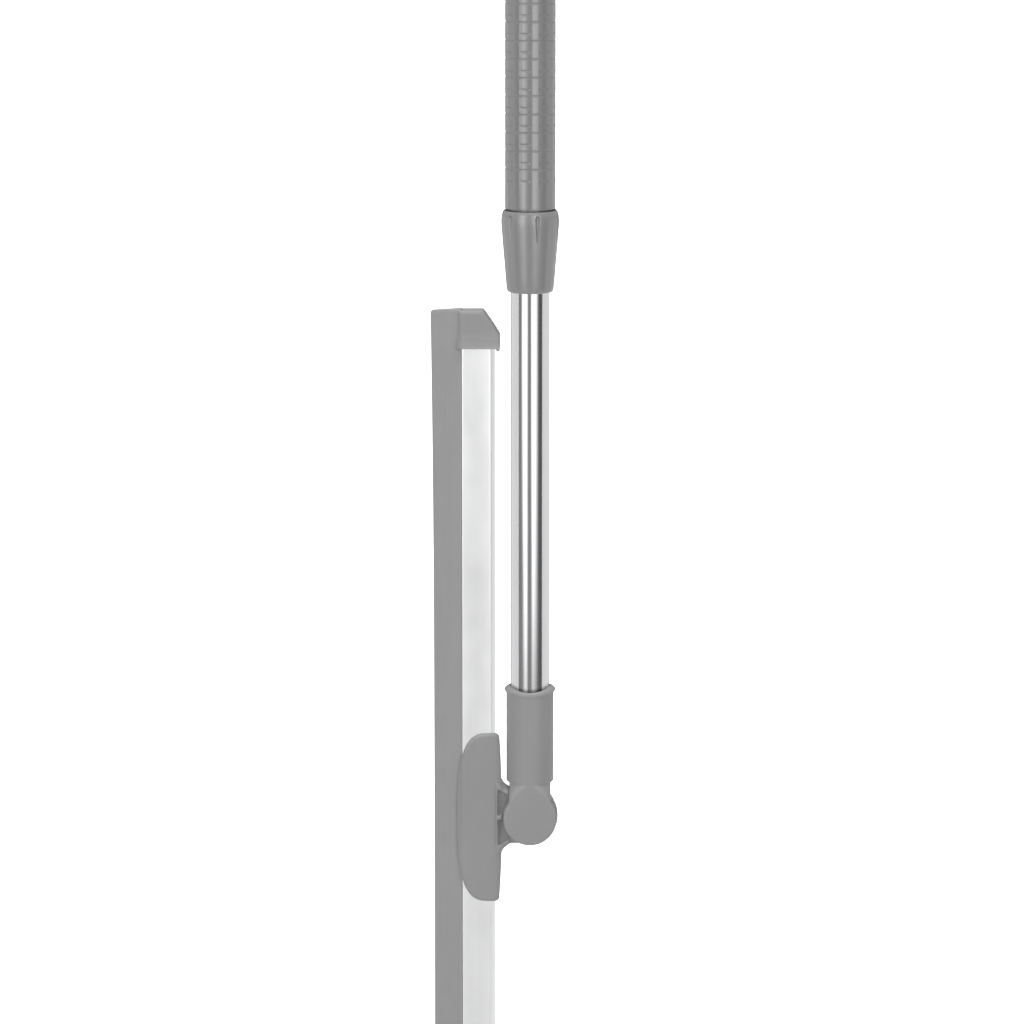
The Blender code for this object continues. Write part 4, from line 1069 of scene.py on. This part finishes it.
def glow_material(name):
    """A glowing material that takes its strength from the mesh's own attribute."""
    made = bpy.data.materials.new(name)
    made.use_nodes = True
    tree = made.node_tree
    tree.nodes.remove(tree.nodes["Principled BSDF"])
    glow = tree.nodes.new("ShaderNodeEmission")
    strength = tree.nodes.new("ShaderNodeAttribute")
    strength.attribute_name = "glow"
    tree.links.new(strength.outputs["Fac"], glow.inputs["Strength"])
    tree.links.new(glow.outputs["Emission"], tree.nodes["Material Output"].inputs["Surface"])
    return made


def softbox_strength(level, foot, crown):
    """A softbox that is dim near the floor and bright from the pivot's height upwards."""
    share = min(1, max(0, (level + SOFTBOX_FADE) / SOFTBOX_FADE))
    return foot + (crown - foot) * share**0.75


def tent_glow(azimuth, level):
    """The strength of the light tent: two tall softboxes with dark bands between and beside them."""
    sunk = ramp(level, -0.04, -0.26)
    left_share = ramp(azimuth, -58 + 9 * sunk, -28 + 3 * sunk) * ramp(azimuth, -9, -32 + 10 * sunk)
    right_share = ramp(azimuth, 1 + 3 * sunk, 19) * ramp(azimuth, 56 + 3 * sunk, 12 + 4 * sunk)
    left = softbox_strength(level, *LEFT_SOFTBOX)
    right = softbox_strength(level, *RIGHT_SOFTBOX)
    dark = TENT_SHADE_LEFT if azimuth < 20 else TENT_SHADE_RIGHT
    return dark + max(0, left - dark) * left_share + max(0, right - dark) * right_share


def glowing(name, points, faces, strengths):
    """A sheet of light that the camera doesn't see, with its own strength at each point."""
    mesh = mesh_of(name, points, faces)
    mesh.attributes.new("glow", "FLOAT", "POINT").data.foreach_set("value", strengths)
    mesh.materials.append(glow_material(name))
    made = bpy.data.objects.new(name, mesh)
    bpy.context.scene.collection.objects.link(made)
    made.visible_camera = False
    return made


def card(name, start, end, low, high, glow):
    """An upright curved card round the object, between two azimuths in degrees from the front."""
    azimuths = np.linspace(start, end, int(abs(end - start)) + 1)
    levels = np.linspace(low, high, 33)
    points = []
    strengths = []
    for level in levels:
        for azimuth in azimuths:
            turn = math.radians(azimuth)
            place = (STUDIO_DISTANCE * math.sin(turn), -STUDIO_DISTANCE * math.cos(turn), level)
            points.append(place)
            strengths.append(glow(azimuth, level - PIVOT_Z))
    count = len(azimuths)
    faces = [
        (row + i, row + i + 1, row + count + i + 1, row + count + i)
        for row in range(0, count * (len(levels) - 1), count) for i in range(count - 1)
    ]
    return glowing(name, points, faces, strengths)


def low_flag(floor_z):
    """A dim card lying in front of the object, which keeps the bright floor out of the channel's face."""
    near, far, half = LOW_FLAG_START, -STUDIO_DISTANCE, LOW_FLAG_HALF_WIDTH
    height = floor_z + LOW_FLAG_RISE
    corners = [(-half, far, height), (half, far, height), (half, near, height), (-half, near, height)]
    return glowing("low_flag", corners, [(0, 1, 2, 3)], [LOW_FLAG_GLOW] * len(corners))


def pale_floor(name, glow):
    """A matte floor material, very slightly uneven in tone."""
    shader = Shader(name, specular=0.2)
    cloud = shader.noise(0.9, detail=2)
    colour = shader.blend(shader.remap(cloud, 0.0, 1.0), (0.76, 0.76, 0.76), (0.765, 0.765, 0.765))
    if glow:
        shader.link(colour, shader.principled.inputs["Emission Color"])
        shader.principled.inputs["Emission Strength"].default_value = glow
    return shader.done(colour, shader.remap(cloud, 0.8, 0.9))


def sheet(name, radius, levels, material):
    """A wide round floor at the first of the levels, with a wall round it up to each further one."""
    angles = np.linspace(0, math.tau, 64, endpoint=False)
    points = [
        (radius * math.cos(angle), radius * math.sin(angle), level) for level in levels for angle in angles
    ]
    count = len(angles)
    walls = [
        (row + i, row + (i + 1) % count, row + count + (i + 1) % count, row + count + i)
        for row in range(0, count * (len(levels) - 1), count) for i in range(count)
    ]
    mesh = mesh_of(name, points, [tuple(range(count)), *walls])
    mesh.materials.append(material)
    made = bpy.data.objects.new(name, mesh)
    bpy.context.scene.collection.objects.link(made)
    made.visible_diffuse = False
    return made


def make_floor(floor_z):
    """The floor that the pieces reflect, and a brighter one over it that only the camera sees."""
    floor = sheet("floor", FLOOR_RADIUS, [floor_z], pale_floor("studio_floor", 0))
    floor.visible_camera = False
    over = floor_z + MM
    levels = [over, over + BACKDROP_HEIGHT]
    backdrop = sheet("backdrop", BACKDROP_RADIUS, levels, pale_floor("backdrop", BACKDROP_GLOW))
    backdrop.visible_glossy = False
    backdrop.visible_shadow = False


def make_studio():
    """A pale room with a light tent in front, dark cards behind and soft light from above."""
    world = bpy.data.worlds.new("studio")
    world.use_nodes = True
    background = world.node_tree.nodes["Background"]
    background.inputs["Color"].default_value = (1, 1, 1, 1)
    background.inputs["Strength"].default_value = ROOM_LIGHT
    bpy.context.scene.world = world
    floor_z = cad_box[0].z - FLOOR_CLEARANCE
    make_floor(floor_z)
    top = PIVOT_Z + TENT_RISE
    card("light_tent", *TENT_SPAN, floor_z, top, tent_glow)
    flags = [
        card(name, start, end, floor_z, top, lambda azimuth, level: CARD_GLOW)
        for name, start, end in BACK_CARDS
    ]
    flags.append(low_flag(floor_z))
    for flag in flags:
        flag.visible_diffuse = False
        flag.visible_shadow = False
    sun = bpy.data.lights.new("overhead", "SUN")
    sun.energy = OVERHEAD_LIGHT
    sun.angle = OVERHEAD_SPREAD
    lamp = bpy.data.objects.new("overhead", sun)
    bpy.context.scene.collection.objects.link(lamp)


CAMERA_DISTANCE = 2.36
CAMERA_PITCH = math.radians(10)
CAMERA_LENS = 168.1
AIM_X = -8.9 * MM
AIM_ABOVE_PIVOT = 153.3 * MM


def make_camera():
    """A long lens in front of the tool, looking slightly down at it."""
    aim = Vector((AIM_X, 0, PIVOT_Z + AIM_ABOVE_PIVOT))
    back = Vector((0, -math.cos(CAMERA_PITCH), math.sin(CAMERA_PITCH)))
    data = bpy.data.cameras.new("camera")
    data.lens = CAMERA_LENS
    data.sensor_width = 36
    camera = bpy.data.objects.new("camera", data)
    camera.location = aim + CAMERA_DISTANCE * back
    camera.rotation_euler = (-back).to_track_quat("-Z", "Y").to_euler()
    bpy.context.scene.collection.objects.link(camera)
    bpy.context.scene.camera = camera
    bpy.context.scene.view_settings.view_transform = "Standard"


# ---------------------------------------------------------------- assembly


def main():
    """Builds the visible pieces from the handle down to the head, then the studio round them."""
    materials = make_materials()
    make_grip(materials)
    make_top_cap(materials)
    make_lock_collar(materials)
    make_chrome_tube(materials)
    make_socket(materials)
    make_screws(materials)
    make_pivot_plug(materials)
    make_channel(materials)
    make_blade(materials)
    make_end_caps(materials)
    make_cover(materials)
    make_bracket(materials)
    finish_hidden(materials)
    keep_reflections_clean()
    make_studio()
    make_camera()


main()
